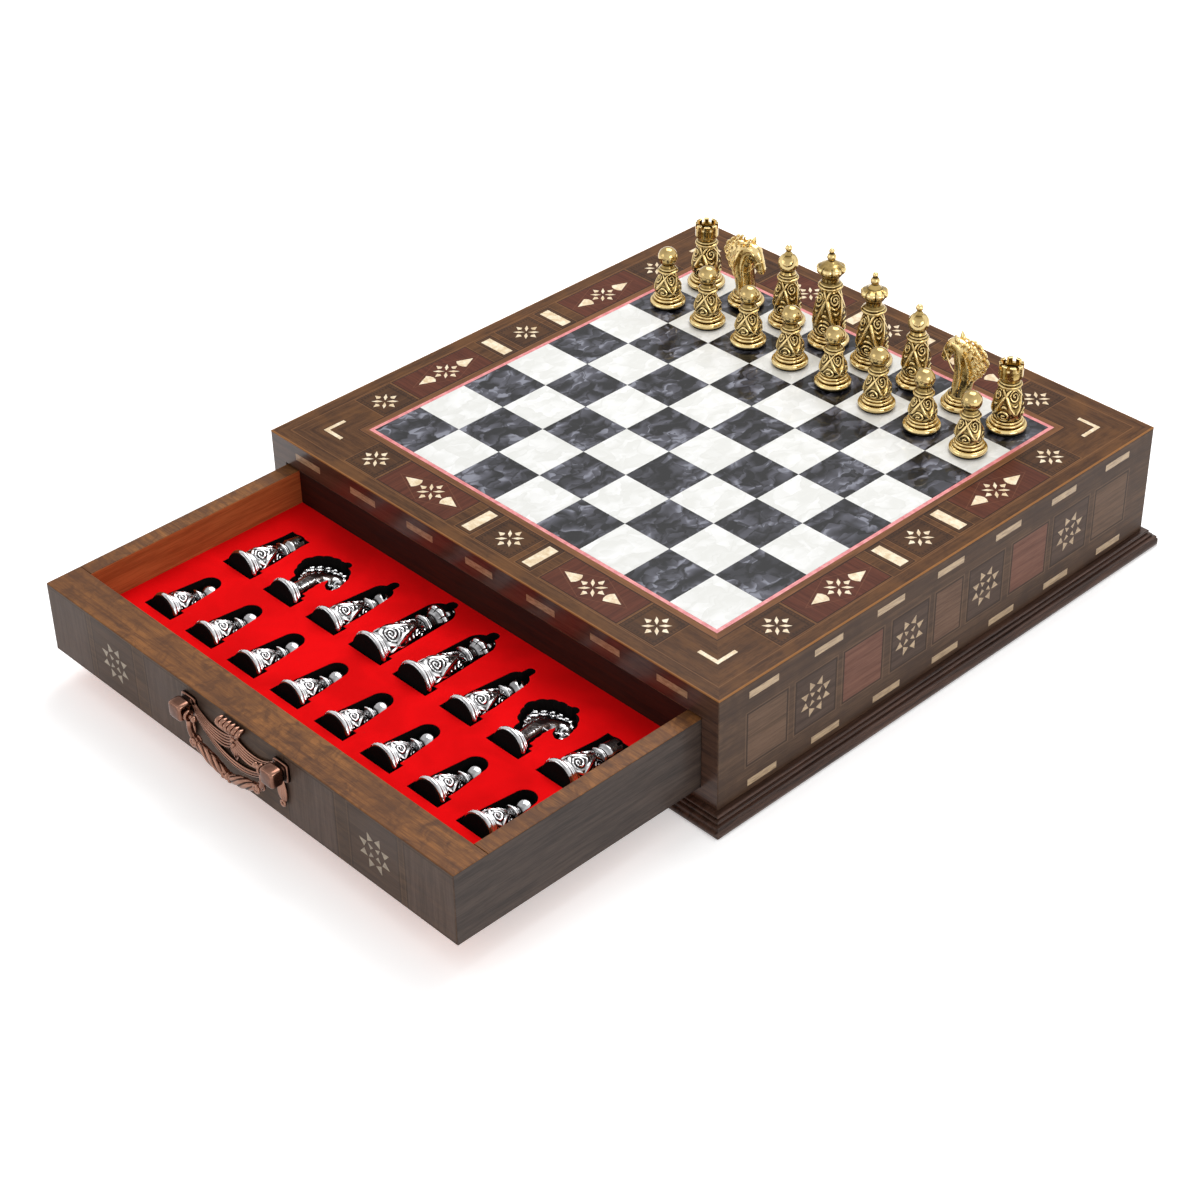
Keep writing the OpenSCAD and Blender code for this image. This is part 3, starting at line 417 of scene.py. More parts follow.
def pearl_paint(name, dark):
    """Mother-of-pearl sheet: each square is cut from another place of a creased, cloudy sheet."""
    p = Paint(name, rough=0.3, coat=0.35, coat_rough=0.015, specular=0.1)
    column = ((p.x + FIELD_HALF) / SQUARE).floor()
    row = ((p.y + FIELD_HALF) / SQUARE).floor()
    place_x = p.x + p.random(column, row, 3.0) * 900
    place_y = p.y + p.random(column, row, 8.0) * 700
    wander = p.noise(0.045, 2, 0.5, 1.2, p.vector(place_x, place_y, 0.0))
    drift = p.noise(0.06, 2, 0.5, 1.2, p.vector(place_x, place_y, 40.0))
    sheet = p.vector(place_x + wander * 15, place_y * 0.7 + drift * 12, 0.0)
    large_scale, small_scale = 0.075, 0.17
    large = facets(p, sheet, large_scale)
    small = facets(p, sheet, small_scale)
    fold = large * 0.62 + small * 0.38
    crease = p.cells(sheet, large_scale, "DISTANCE_TO_EDGE")["Distance"]
    if dark:
        p.start(fold.rise(0.15, 0.95), (14, 14, 18), (84, 84, 94))
        p.lay(large.rise(0.75, 1.0) * small.rise(0.5, 1.0) * 0.8, (140, 142, 154))
        p.lay(crease.rise(0.06, 0.0) * 0.6, (12, 12, 15))
    else:
        p.start(fold.rise(0.1, 0.9), (224, 224, 220), (236, 236, 234))
        p.lay(large.rise(0.8, 1.0) * small.rise(0.6, 1.0) * 0.6, (246, 246, 244))
        p.lay(crease.rise(0.05, 0.0) * 0.2, (212, 211, 206))
    return p.done()


def bone_paint():
    p = Paint("bone_inlay", rough=0.35, coat=0.3, coat_rough=0.15)
    streak = p.noise(1.0, 3, 0.6, 0.3, p.vector(p.x * 0.25, p.y * 0.25, p.z * 0.9))
    mottle = p.noise(0.3, 2, 0.5)
    p.start(streak.rise(0.3, 0.7), (214, 186, 142), (248, 232, 202))
    p.lay(mottle.rise(0.5, 0.75) * 0.3, (196, 164, 118))
    return p.done()


def shaded_bone_paint(name, dark, light):
    """Bone darkened with painted shade, for the walls and the drawer fronts."""
    p = Paint(name, rough=0.4, coat=0.3, coat_rough=0.2)
    streak = p.noise(1.0, 3, 0.6, 0.3, p.vector(p.x * 0.25, p.y * 0.12, p.z * 0.9))
    p.start(streak.rise(0.3, 0.7), dark, light)
    return p.done()


def line_paint():
    p = Paint("pink_line", rough=0.4, coat=0.3, coat_rough=0.15)
    patch = p.noise(0.2, 3, 0.6)
    p.start(patch.rise(0.35, 0.65), (214, 112, 116), (236, 146, 146))
    return p.done()


def velvet_paint():
    """Short red pile, brushed in soft clouds."""
    p = Paint("velvet_red", rough=0.95, specular=0.1)
    pile = p.noise(4.0, 2, 0.7)
    nap = p.noise(0.03, 3, 0.5, 0.5)
    p.start(nap.rise(0.3, 0.7), (214, 0, 4), (236, 2, 8))
    p.lay(pile.rise(0.45, 0.75) * 0.3, (190, 0, 3))
    p.shader.inputs["Sheen Weight"].default_value = 0.12
    p.shader.inputs["Sheen Roughness"].default_value = 0.4
    p.shader.inputs["Sheen Tint"].default_value = (1.0, 0.05, 0.03, 1.0)
    return p.done(height=pile, depth=0.12)


def flock_paint(name, light):
    p = Paint(name, rough=1.0, specular=0.05)
    pile = p.noise(3.0, 2, 0.7)
    p.start(pile.rise(0.3, 0.7), (7, 6, 6), light)
    return p.done(height=pile, depth=0.15)


def cast_metal(name, wear_and_highlight, high, mid, low, rough, scuffs=0.2):
    """Plated casting in linear colours: bright on what stands out, partly wear and partly a painted
    highlight, dark where the relief is deep and where painted shade is stored.
    """
    p = Paint(name, rough=rough, metal=1.0)
    hollow_and_shade = p.attribute("hollow_and_shade")
    cloud = p.noise(0.12, 3, 0.6)
    plate = p.mix(cloud.rise(0.34, 0.66) * 0.8, high, mid)
    # Raised points take the bright colour: partly real wear, partly a painted highlight.
    plate = p.mix(hollow_and_shade.rise(0.44, 0.28), plate, wear_and_highlight)
    # The darkest colour goes into the hollows and onto the painted shade of undersides and of what lies
    # close to the drawer front.
    p.tone = p.mix(hollow_and_shade.rise(0.47, 0.7), plate, low)
    scuff = p.noise(0.35, 3, 0.55)
    return p.done(hollow_and_shade.rise(0.45, 0.8) * 0.25 + rough + cloud * 0.06, scuff, scuffs)


paints = {
    "border": border_paint(),
    "side": side_paint(),
    "front": drawer_front_paint(),
    "edge": plain_wood("moulding_wood", (40, 26, 20), (88, 62, 50), "y", 0.34, 0.3, 1.6),
    "carcass": plain_wood("carcass_wood", (52, 34, 27), (92, 64, 50), "x", 0.35, 0.5),
    "drawer_top": plain_wood(
        "drawer_top_wood", (92, 57, 32), (150, 98, 52), "x", 0.45, 0.05, blotch=(70, 43, 28)),
    "drawer_out": plain_wood("drawer_side_wood", (44, 35, 31), (76, 63, 56), "y", 0.5, 0.15),
    "drawer_in": plain_wood("drawer_inside_wood", (150, 78, 38), (186, 104, 56), "y", 0.6, 0.0),
    # Inside of the drawer's back wall: near-black painted shade for the shadow that the case casts there.
    "back_wall_shade": plain_wood("painted_shade_back_wall", (30, 14, 10), (62, 26, 16), "x", 0.6, 0.0),
    "light_pearl": pearl_paint("light_pearl_sheet", False),
    "dark_pearl": pearl_paint("dark_pearl_sheet", True),
    "bone": bone_paint(),
    # Copies of the bone darkened with painted shade, for the walls and the drawer fronts
    "bone_in_wall_shade": shaded_bone_paint("bone_with_painted_shade", (146, 118, 86), (188, 160, 122)),
    "bone_in_front_shade": shaded_bone_paint("drawer_bone_painted_shade", (120, 104, 84), (154, 136, 110)),
    "line": line_paint(),
    "velvet": velvet_paint(),
    "flock": flock_paint("pocket_flock_black", (24, 20, 20)),
    "felt": flock_paint("felt_sole_black", (20, 18, 18)),
    "gold": cast_metal(
        "gold_plate", (0.82, 0.63, 0.3), (0.52, 0.37, 0.14), (0.2, 0.125, 0.035),
        (0.02, 0.01, 0.003), 0.08),
    "silver": cast_metal(
        "silver_plate", (0.9, 0.9, 0.91), (0.6, 0.6, 0.61), (0.14, 0.135, 0.14),
        (0.012, 0.01, 0.01), 0.08),
    "copper": cast_metal(
        "antique_copper", (0.29, 0.15, 0.105), (0.19, 0.09, 0.062), (0.08, 0.037, 0.025),
        (0.008, 0.004, 0.003), 0.17, 0.03),
}


# ---------------------------------------------------------------- mesh helpers


def add_object(name, data):
    made = bpy.data.objects.new(name, data)
    bpy.context.scene.collection.objects.link(made)
    return made


def paint_node(node, paint):
    """Gives a CAD node that stays a better material."""
    materials = frame["nodes"][node].data.materials
    materials.clear()
    materials.append(paints[paint])


def show_instead(node, mesh, matrix=None):
    """Puts a mesh in the place of a CAD node, on the node's own body."""
    made = add_object("shown_" + node, mesh)
    if matrix is not None:
        made.matrix_world = matrix
    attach(made, body_of(frame["nodes"][node])[0])
    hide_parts(node)
    return made


def clean_copy(node):
    """A welded copy of a CAD node's mesh with its flat faces joined, in a bmesh."""
    work = bmesh.new()
    work.from_mesh(frame["nodes"][node].data)
    bmesh.ops.remove_doubles(work, verts=work.verts, dist=0.01 * MM)
    bmesh.ops.dissolve_limit(work, angle_limit=math.radians(0.5), verts=work.verts, edges=work.edges)
    return work


def soften(work, width, chosen, segments=2):
    """Rounds the edges for which chosen(a, b) is true, a and b being its ends in millimetres."""
    edges = [e for e in work.edges
             if len(e.link_faces) == 2 and e.calc_face_angle(0) > math.radians(20)
             and chosen(*(v.co / MM for v in e.verts))]
    bmesh.ops.bevel(work, geom=edges, offset=width * MM, segments=segments, profile=0.5,
                    affect="EDGES", clamp_overlap=False, harden_normals=False)


def mesh_of(name, work):
    """A mesh from a bmesh, which is freed."""
    made = bpy.data.meshes.new(name)
    work.to_mesh(made)
    work.free()
    return made


def stand_in(node, work, used, pick=None):
    """Shows a bmesh instead of a CAD node. pick(centre, normal) gives each face's place in used."""
    mesh = mesh_of("shown_" + node, work)
    for paint in used:
        mesh.materials.append(paints[paint])
    if pick is not None:
        picks = [pick(face.center / MM, face.normal) for face in mesh.polygons]
        mesh.polygons.foreach_set("material_index", picks)
    return show_instead(node, mesh)


def on_plane(value, plane):
    return abs(value - plane) < 0.02


def both_on(axis, plane):
    """A choice of the edges that lie on a plane across an axis."""
    return lambda a, b: on_plane(a[axis], plane) and on_plane(b[axis], plane)


def mesh_from(name, points, faces):
    """A mesh from points in millimetres."""
    made = bpy.data.meshes.new(name)
    made.from_pydata([(x * MM, y * MM, z * MM) for x, y, z in points], [], faces)
    return made


def box_of(node):
    """Lowest and highest corner of a CAD node in millimetres."""
    return tuple(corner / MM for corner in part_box(node))


X, Y, Z = range(3)
LEFT, RIGHT = -1, 1


# ---------------------------------------------------------------- case


def eased_side(node, sign):
    """Side wall with its outer upright edges eased."""
    work = clean_copy(node)
    outside = both_on(X, sign * CASE_HALF)
    soften(work, 0.5, lambda a, b: outside(a, b)
           and on_plane(abs(a.y), CASE_HALF) and on_plane(abs(b.y), CASE_HALF))
    stand_in(node, work, ["side", "carcass"], lambda c, n: 0 if n.x * sign > 0.4 else 1)


def eased_border():
    """Border veneer with its outer top edge eased."""
    work = clean_copy("border_veneer")
    top = both_on(Z, CASE_H)
    rims = [both_on(axis, side * CASE_HALF) for axis in (X, Y) for side in (-1, 1)]
    soften(work, 0.45, lambda a, b: top(a, b) and any(rim(a, b) for rim in rims))
    stand_in("border_veneer", work, ["border"])


def split_bone():
    """Bone of the border, and the bone of the walls darkened with painted shade, as one piece with two
    materials.
    """
    # Faces below the top take the copy darkened with painted shade.
    stand_in("bone_inlays", clean_copy("bone_inlays"), ["bone", "bone_in_wall_shade"],
             lambda c, n: 0 if c.z > VENEER_Z - 0.1 else 1)


eased_side("left_side", LEFT)
eased_side("right_side", RIGHT)
eased_border()
split_bone()
for node, paint in {
    "case_floor": "carcass",
    "centre_divider": "carcass",
    "top_board": "carcass",
    "base_board": "edge",
    "field_stringing": "line",
    "light_squares": "light_pearl",
    "dark_squares": "dark_pearl",
}.items():
    paint_node(node, paint)


# ---------------------------------------------------------------- drawers

DRAWERS = {"front": -1, "rear": 1}


def eased_drawer(end, outward):
    """Front board and walls of a drawer, with the rims eased and worn. outward is its way along Y."""
    front = end + "_drawer_front"
    low, high = box_of(front)
    top, bottom = both_on(Z, high.z), both_on(Z, low.z)
    face = both_on(Y, low.y if outward < 0 else high.y)
    ends = [both_on(X, low.x), both_on(X, high.x)]
    work = clean_copy(front)
    soften(work, 0.7, lambda a, b: top(a, b) or (
        face(a, b) and (bottom(a, b) or any(side(a, b) for side in ends))), 3)

    def front_pick(centre, normal):
        if normal.z > 0.5:
            return 1
        if normal.y * outward > 0.5:
            return 0
        return 2 if abs(normal.x) > 0.5 else 3

    stand_in(front, work, ["front", "drawer_top", "drawer_out", "drawer_in"], front_pick)

    walls = end + "_drawer_walls"
    low, high = box_of(walls)
    work = clean_copy(walls)
    soften(work, 0.6, both_on(Z, high.z), 3)

    def wall_pick(centre, normal):
        if normal.z > 0.5 and centre.z > high.z - 1:
            return 0
        if abs(centre.x) > high.x - 1 or normal.y * -outward > 0.5:
            return 1
        # The inside face of the back wall takes the near-black painted shade.
        return 3 if normal.y * outward > 0.5 else 2

    stand_in(walls, work, ["drawer_top", "drawer_out", "drawer_in", "back_wall_shade"], wall_pick)
    paint_node(end + "_drawer_bottom", "carcass")
    # The drawer front's inlays take the bone darkened with painted shade.
    paint_node(end + "_drawer_inlays", "bone_in_front_shade")


def padded_bed(node):
    """Foam bed: velvet over the face, rolled into black-lined pockets."""
    low, high = box_of(node)
    work = clean_copy(node)
    top = both_on(Z, VELVET_Z)
    outside = [both_on(axis, corner[axis]) for axis in (X, Y) for corner in (low, high)]
    soften(work, 0.5, lambda a, b: top(a, b) and not any(side(a, b) for side in outside), 3)

    def pick(centre, normal):
        inside = low.x + 0.1 < centre.x < high.x - 0.1 and low.y + 0.1 < centre.y < high.y - 0.1
        return 1 if inside and low.z + 1 < centre.z < VELVET_Z - 0.25 else 0

    made = stand_in(node, work, ["velvet", "flock"], pick)


for end, outward in DRAWERS.items():
    eased_drawer(end, outward)
    padded_bed(end + "_pawn_bed")
    padded_bed(end + "_officer_bed")


# ---------------------------------------------------------------- solids from rings and tubes


def spread(values, count):
    """Catmull-Rom curve through rows of numbers, sampled at count places."""
    rows = np.asarray(values, float)
    padded = np.vstack([2 * rows[0] - rows[1], rows, 2 * rows[-1] - rows[-2]])
    at = np.linspace(0, len(rows) - 1, count)
    i = np.minimum(at.astype(int), len(rows) - 2)
    t = (at - i)[:, None]
    a, b, c, d = (padded[i + k] for k in range(4))
    bend = (2 * a - 5 * b + 4 * c - d) * t**2 + (3 * b - a - 3 * c + d) * t**3
    return 0.5 * (2 * b + (c - a) * t + bend)


def path(x, y, z):
    """Points of a curve from its coordinates, some of which may be plain numbers."""
    return np.stack(np.broadcast_arrays(x, y, z), -1)


class Solid:
    """Points and faces of several closed shapes, gathered in millimetres."""

    def __init__(self):
        self.points = []
        self.faces = []

    def rings(self, rings):
        """A closed skin over rings of equally many points, with both ends capped."""
        rings = np.asarray(rings, float)
        count, sides, _ = rings.shape
        base = len(self.points)
        self.points.extend(rings.reshape(-1, 3).tolist())
        for i in range(count - 1):
            for k in range(sides):
                a, b = base + i * sides + k, base + i * sides + (k + 1) % sides
                self.faces.append((a, b, b + sides, a + sides))
        self.faces.append(tuple(base + k for k in reversed(range(sides))))
        self.faces.append(tuple(base + (count - 1) * sides + k for k in range(sides)))

    def tube(self, line, radii, sides=8, flat=1.0):
        """A rod along a line. flat squeezes it along Y."""
        line = np.asarray(line, float)
        radii = np.broadcast_to(radii, len(line))
        ways = np.gradient(line, axis=0)
        ways /= np.linalg.norm(ways, axis=1)[:, None]
        guide = np.array([0.0, 1.0, 0.0]) if abs(ways[:, 1]).max() < 0.9 else np.array([0.3, 0.2, 1.0])
        side = np.cross(ways, guide)
        side /= np.linalg.norm(side, axis=1)[:, None]
        up = np.cross(side, ways)
        angles = np.arange(sides) * TAU / sides
        self.rings([
            [c + r * (math.cos(a) * s + math.sin(a) * u * flat) for a in angles]
            for c, s, u, r in zip(line, side, up, radii)])

    def ball(self, centre, radii, around=16, along=9):
        tilts = np.radians(np.linspace(-88, 88, along))
        centre, radii = np.asarray(centre, float), np.broadcast_to(radii, 3)
        self.rings([
            [centre + radii * (math.cos(b) * math.cos(a), math.cos(b) * math.sin(a), math.sin(b))
             for a in np.arange(around) * TAU / around] for b in tilts])

    def hoop(self, centre, radius, rod, axis="y"):
        """A ring of rod round an axis."""
        angles = np.linspace(0, TAU, 25)
        a, b = radius * np.cos(angles), radius * np.sin(angles)
        self.tube(np.asarray(centre, float) + (path(a, 0, b) if axis == "y" else path(0, a, b)), rod, 12)

    def mesh(self, name):
        made = mesh_from(name, self.points, self.faces)
        work = bmesh.new()
        work.from_mesh(made)
        bmesh.ops.recalc_face_normals(work, faces=work.faces)
        work.to_mesh(made)
        work.free()
        return made


def mark_hollows_and_shade(mesh, shade=None):
    """Stores how deep each point of a casting lies, from 0 to 1, for cast_metal.

    Undersides get a little painted shade, and shade adds to it.
    """
    count = len(mesh.vertices)
    co = np.empty(count * 3)
    mesh.vertices.foreach_get("co", co)
    co = co.reshape(-1, 3)
    normals = np.empty(count * 3)
    mesh.vertices.foreach_get("normal", normals)
    normals = normals.reshape(-1, 3)
    ends = np.empty(len(mesh.edges) * 2, int)
    mesh.edges.foreach_get("vertices", ends)
    a, b = ends.reshape(-1, 2).T
    reach = np.linalg.norm(co[a] - co[b], axis=1) + 1e-9
    lift = np.zeros(count)
    weight = np.zeros(count)
    for i, j in ((a, b), (b, a)):
        np.add.at(lift, i, np.einsum("ij,ij->i", normals[i], co[j] - co[i]) / reach)
        np.add.at(weight, i, 1.0)
    weight = np.maximum(weight, 1)
    depth = lift / weight
    for _ in range(2):
        total = np.zeros(count)
        np.add.at(total, a, depth[b])
        np.add.at(total, b, depth[a])
        depth = 0.5 * depth + 0.5 * total / weight
    # Painted shade: faces that point down are darkened as if they were in shadow.
    under = np.clip(-1.4 * normals[:, 2], 0, 1)
    hollow_and_shade = 0.5 + depth * 3.2 + 0.15 * under + (0 if shade is None else shade(co / MM))
    held = mesh.attributes.new("hollow_and_shade", "FLOAT", "POINT")
    held.data.foreach_set("value", np.clip(hollow_and_shade, 0, 1).astype(np.float32))


def smooth_casting(mesh):
    mesh.shade_smooth()
    mesh.set_sharp_from_angle(angle=math.radians(50))


def cut(mesh, cutters):
    """The mesh with other meshes taken out of it."""
    whole = add_object("whole", mesh)
    tools = [add_object("cutter", cutter) for cutter in cutters]
    for tool in tools:
        step = whole.modifiers.new("cut", "BOOLEAN")
        step.operation = "DIFFERENCE"
        step.solver = "EXACT"
        step.object = tool
    graph = bpy.context.evaluated_depsgraph_get()
    done = bpy.data.meshes.new_from_object(whole.evaluated_get(graph))
    for item in [whole, *tools]:
        bpy.data.objects.remove(item)
    return done


def turned_by(degrees, axis):
    return Matrix.Rotation(math.radians(degrees), 4, axis)


def moved_by(x, y, z):
    return Matrix.Translation(Vector((x, y, z)) * MM)


def block_mesh(size, place, turn_y=0, turn_z=0):
    """A box mesh turned about Y, moved, and then turned about Z: for cutting slots."""
    work = bmesh.new()
    bmesh.ops.create_cube(work, size=1.0)
    work.transform(turned_by(turn_z, "Z") @ moved_by(*place) @ turned_by(turn_y, "Y")
                   @ Matrix.Diagonal((*(v * MM for v in size), 1)))
    return mesh_of("block", work)


def join_meshes(name, meshes):
    work = bmesh.new()
    for mesh in meshes:
        work.from_mesh(mesh)
    return mesh_of(name, work)


# ---------------------------------------------------------------- turned pieces

FELT_T, FELT_IN, FOOT_H, LIP_R = 0.8, 1.2, 8.6, 1.9
LIP_Z = FELT_T + LIP_R
BODY_IN = 4.7
AROUND = 128
PAWN_R, ROOK_R, BISHOP_R, KING_R = 11.7, 12.5, 12.2, 13.5
PAWN_H, ROOK_H, BISHOP_H, QUEEN_H, KING_H = 41.2, 45.5, 56.4, 64.5, 67.5
BALL_R, CUP_R, MITRE_R, QUEEN_CAP_R, KING_CAP_R = 6.4, 7.5, 6.6, 8.9, 9.6
CAP_DROP, MITRE_DROP = 14.0, 12.6
NECK_H, HEAD_RISE = 31.4, 9.7
# Half width over the knight's ears
EAR_SIDE = 2.4 + 6.4 * math.sin(math.radians(8)) + 0.6
RELIEF = 0.75
FIELDS_AROUND = 4


def arc(x, y, r, start, end, steps=8):
    angles = np.radians(np.linspace(start, end, steps + 1))
    return [(x + r * math.cos(a), y + r * math.sin(a)) for a in angles]


def swell(r0, z0, r1, z1, out, steps=60):
    """A turned swelling between two radii, fullest near its lower end."""
    return [(r0 + (r1 - r0) * t + out * math.sin(math.pi * t**0.65), z0 + (z1 - z0) * t)
            for t in np.linspace(0, 1, steps + 1)]


def foot(r):
    """The stepped foot, from the middle of its felt sole."""
    return ([(r - FELT_IN, 0), (r - FELT_IN, FELT_T)]
            + arc(r - LIP_R, LIP_Z, LIP_R, -90, 90, 14)
            + [(r - 3.4, FELT_T + 4.1)]
            + arc(r - 2.9, FELT_T + 5.1, 0.9, -80, 90, 8)
            + [(r - 4.2, FELT_T + 6.1)]
            + arc(r - 3.9, FELT_T + 6.9, 0.8, -80, 90, 8)
            + [(r - BODY_IN, FOOT_H)])


def collar(z, neck, out):
    return [(neck, z), (out, z + 0.9), (out, z + 1.7), (out - 1.4, z + 2.3), (out - 0.9, z + 3),
            (out - 2, z + 3.8)]


def eased(profile, ease=0.32, run=0.45):
    """Rounds the corners of a profile and fills its long runs with points."""
    points = [np.array(p, float) for p in profile]
    points = [b for a, b in zip([points[0] + 1] + points, points) if np.linalg.norm(b - a) > 0.01]
    done = [points[0]]
    for before, here, after in zip(points, points[1:], points[2:]):
        a, b = before - here, after - here
        la, lb = np.linalg.norm(a), np.linalg.norm(b)
        turn = math.degrees(math.acos(np.clip(np.dot(a, b) / (la * lb), -1, 1)))
        if turn > 150:
            done.append(here)
            continue
        reach = min(ease, 0.4 * la, 0.4 * lb)
        start, end = here + a / la * reach, here + b / lb * reach
        done += [(1 - t) ** 2 * start + 2 * t * (1 - t) * here + t * t * end for t in (0, 0.33, 0.67, 1)]
    done.append(points[-1])
    filled = [done[0]]
    for a, b in zip(done, done[1:]):
        steps = max(1, int(np.linalg.norm(b - a) / run))
        filled += [a + (b - a) * k / steps for k in range(1, steps + 1)]
    return np.array(filled)


def smooth_step(value, low, high):
    t = np.clip((value - low) / (high - low), 0, 1)
    return t * t * (3 - 2 * t)


def bell(value, at, width):
    """1 at a value, falling to 0 on both sides of it."""
    return np.exp(-(((value - at) / width) ** 2))


def scrollwork(angle, rise, around_mm, tall_mm, crossings=2.0):
    """Cast ornament on a body: two sets of leaning bands that cross, with a scroll in each field.

    angle runs round the body in turns and rise from 0 to 1 up it. The result is 0 at the ground
    and 1 at the crests.
    """
    bend = rise + 0.06 * np.sin(TAU * rise)
    a = angle * FIELDS_AROUND + bend * crossings / 2
    b = angle * FIELDS_AROUND - bend * crossings / 2 + 0.5
    bands = np.maximum(bell(a, np.round(a), 0.1), bell(b, np.round(b), 0.1))
    fa, fb = a - np.floor(a) - 0.5, b - np.floor(b) - 0.5
    across = (fa + fb) / 2 * around_mm / FIELDS_AROUND
    up = (fa - fb) / crossings * tall_mm
    radius = np.hypot(across, up)
    side = np.where((np.floor(a) + np.floor(b)) % 2 > 0.5, 1.0, -1.0)
    wind = np.cos(side * np.arctan2(up, across) + TAU * radius / 2.3)
    room = smooth_step(0.5 - np.maximum(abs(fa), abs(fb)), 0.1, 0.24)
    scroll = smooth_step(wind, -0.2, 0.9) * room
    return np.maximum(bands, 0.85 * scroll)


def turned_mesh(name, profile, body=None, lobes=None):
    """A lathe-turned casting. body is (low, high) where it carries scrollwork.

    lobes is (low, high, count, depth): where its rim is cut into petals.
    """
    rows = eased([(0.001, 0)] + profile)
    radius, height = rows[:, 0], rows[:, 1]
    angle = np.arange(AROUND) / AROUND
    grid_r = np.repeat(radius[:, None], AROUND, 1)
    grid_z = np.repeat(height[:, None], AROUND, 1)
    slope = np.gradient(rows, axis=0)
    slope /= np.linalg.norm(slope, axis=1)[:, None] + 1e-9
    out_r, out_z = slope[:, 1], -slope[:, 0]
    if body:
        low, high = body
        rise = np.clip((height - low) / (high - low), 0, 1)
        inside = smooth_step(rise, 0.0, 0.07) * (1 - smooth_step(rise, 0.93, 1.0))
        middle = float(np.mean(radius[(height > low) & (height < high)]))
        relief = scrollwork(angle[None, :], rise[:, None], TAU * middle, high - low)
        push = (relief - 0.62) * RELIEF * inside[:, None]
        grid_r = grid_r + push * out_r[:, None]
        grid_z = grid_z + push * out_z[:, None]
    if lobes:
        low, high, count, depth = lobes
        share = smooth_step(height, low, low + 3.5) * (1 - smooth_step(height, high, high + 1.6))
        petals = np.abs(np.sin(angle * math.pi * count)) ** 0.7
        grid_r = grid_r - (1 - petals)[None, :] * share[:, None] * depth * (radius / radius.max())[:, None]
    solid = Solid()
    solid.rings(np.stack([grid_r * np.cos(angle * TAU), grid_r * np.sin(angle * TAU), grid_z], -1))
    return solid.mesh(name)


def pawn_mesh():
    neck_z = PAWN_H - 2 * BALL_R - 4.6
    profile = (foot(PAWN_R) + swell(PAWN_R - BODY_IN, FOOT_H, 4.2, neck_z, 2.7)
               + collar(neck_z, 4.4, BALL_R + 0.2) + arc(0, PAWN_H - BALL_R, BALL_R, -52, 89.8, 22))
    return turned_mesh("pawn", profile, (FOOT_H + 0.3, neck_z - 0.2))


def rook_mesh():
    """Rook: its cup is hollowed and cut into eight merlons."""
    cup_z = ROOK_H - 11
    cup_in = CUP_R - 2
    cup_floor = ROOK_H - 5.5
    profile = (foot(ROOK_R) + swell(ROOK_R - BODY_IN, FOOT_H, 5.9, cup_z - 4.4, 2.7)
               + collar(cup_z - 4.4, 6, CUP_R)
               + [(CUP_R - 1.4, cup_z), (CUP_R, cup_z + 2.4), (CUP_R, ROOK_H - 3.4), (CUP_R, ROOK_H),
                  (cup_in, ROOK_H), (cup_in, cup_floor), (0.001, cup_floor)])
    whole = turned_mesh("rook", profile, (FOOT_H + 0.3, cup_z - 4.6))
    slot = (2 * CUP_R + 2, 2, 4)
    return cut(whole, [block_mesh(slot, (0, 0, ROOK_H - 1.2), turn_z=a) for a in (22.5, 67.5, 112.5, 157.5)])


def bishop_mesh():
    """Bishop: a mitre with a slanting slot, under a small ball."""
    head_z = BISHOP_H - MITRE_DROP
    neck_z = head_z - 11.6
    profile = (foot(BISHOP_R) + swell(BISHOP_R - BODY_IN, FOOT_H, 5.4, neck_z, 2.4)
               + collar(neck_z, 5.6, 7) + [(5.2, head_z - 7)] + arc(0, head_z, MITRE_R, -50, 62, 16)
               + [(1.3, BISHOP_H - 4.2)] + arc(0, BISHOP_H - 2.3, 2.3, -50, 89.8, 12))
    whole = turned_mesh("bishop", profile, (FOOT_H + 0.3, neck_z - 0.2))
    return cut(whole, [block_mesh((1.7, 20, 11), (4.2, 0, head_z + 2.2), -38, -55)])


def crowned_mesh(name, h, cap_r, stem_r, body_out, dome_h):
    """King or queen: a stem that flares to a lobed cap under a finial."""
    cap_z = h - CAP_DROP
    neck_z = cap_z - 13
    finial_r, tip_r = 2.9, 1.8
    profile = (foot(KING_R) + swell(KING_R - BODY_IN, FOOT_H, stem_r + 0.4, neck_z, body_out)
               + collar(neck_z, stem_r + 1, 8)
               + [(stem_r, neck_z + 4.9), (stem_r, cap_z - 5.4), (stem_r + 1, cap_z - 4.4)]
               + arc(cap_r - 2.2, cap_z, 2.2, -70, 70, 12)
               + [(4.6, cap_z + dome_h), (2, h - 2 * finial_r - 2.4)]
               + arc(0, h - finial_r - 3, finial_r, -45, 55, 12) + arc(0, h - tip_r, tip_r, -40, 89.8, 12))
    return turned_mesh(name, profile, (FOOT_H + 0.3, neck_z - 0.2), (cap_z - 4.8, cap_z + 2.0, 8, 1.5))


# Knight: (x, z, half depth, half thickness, direction of the spine) from the foot to the muzzle
KNIGHT_STATIONS = [
    (0, 0, 6.6, 7, 90), (-0.6, 5, 6.4, 6.6, 94), (-1.6, 10.6, 6.8, 6.4, 97), (-2.6, 16.4, 7.4, 6.3, 94),
    (-2.4, 22.2, 7.8, 5.9, 84), (-0.4, 27.4, 7.4, 5.4, 62), (2.6, 31, 6.4, 4.8, 30),
    (6.4, 31.4, 5.6, 4.3, -14), (9.6, 28.6, 4.6, 3.6, -46), (11.8, 24.8, 3.5, 3, -62),
    (13.2, 21.2, 3.1, 2.8, -66), (14, 19.2, 1.7, 1.6, -66),
]
# Where each lock of the mane ends, and where it leaves the neck
MANE_LOCKS = [
    (4.6, 41.6), (0.4, 43.6), (-4.2, 43.6), (-8.6, 42), (-12.2, 38.8), (-14.2, 34.4), (-12.6, 30),
    (-10.2, 25.8),
]
NECK_CREST = [
    (2.4, 37.5), (0, 37.2), (-2.4, 36), (-4.4, 33.6), (-5.6, 30.6), (-6, 27.4), (-6, 24.2), (-5.6, 21),
]


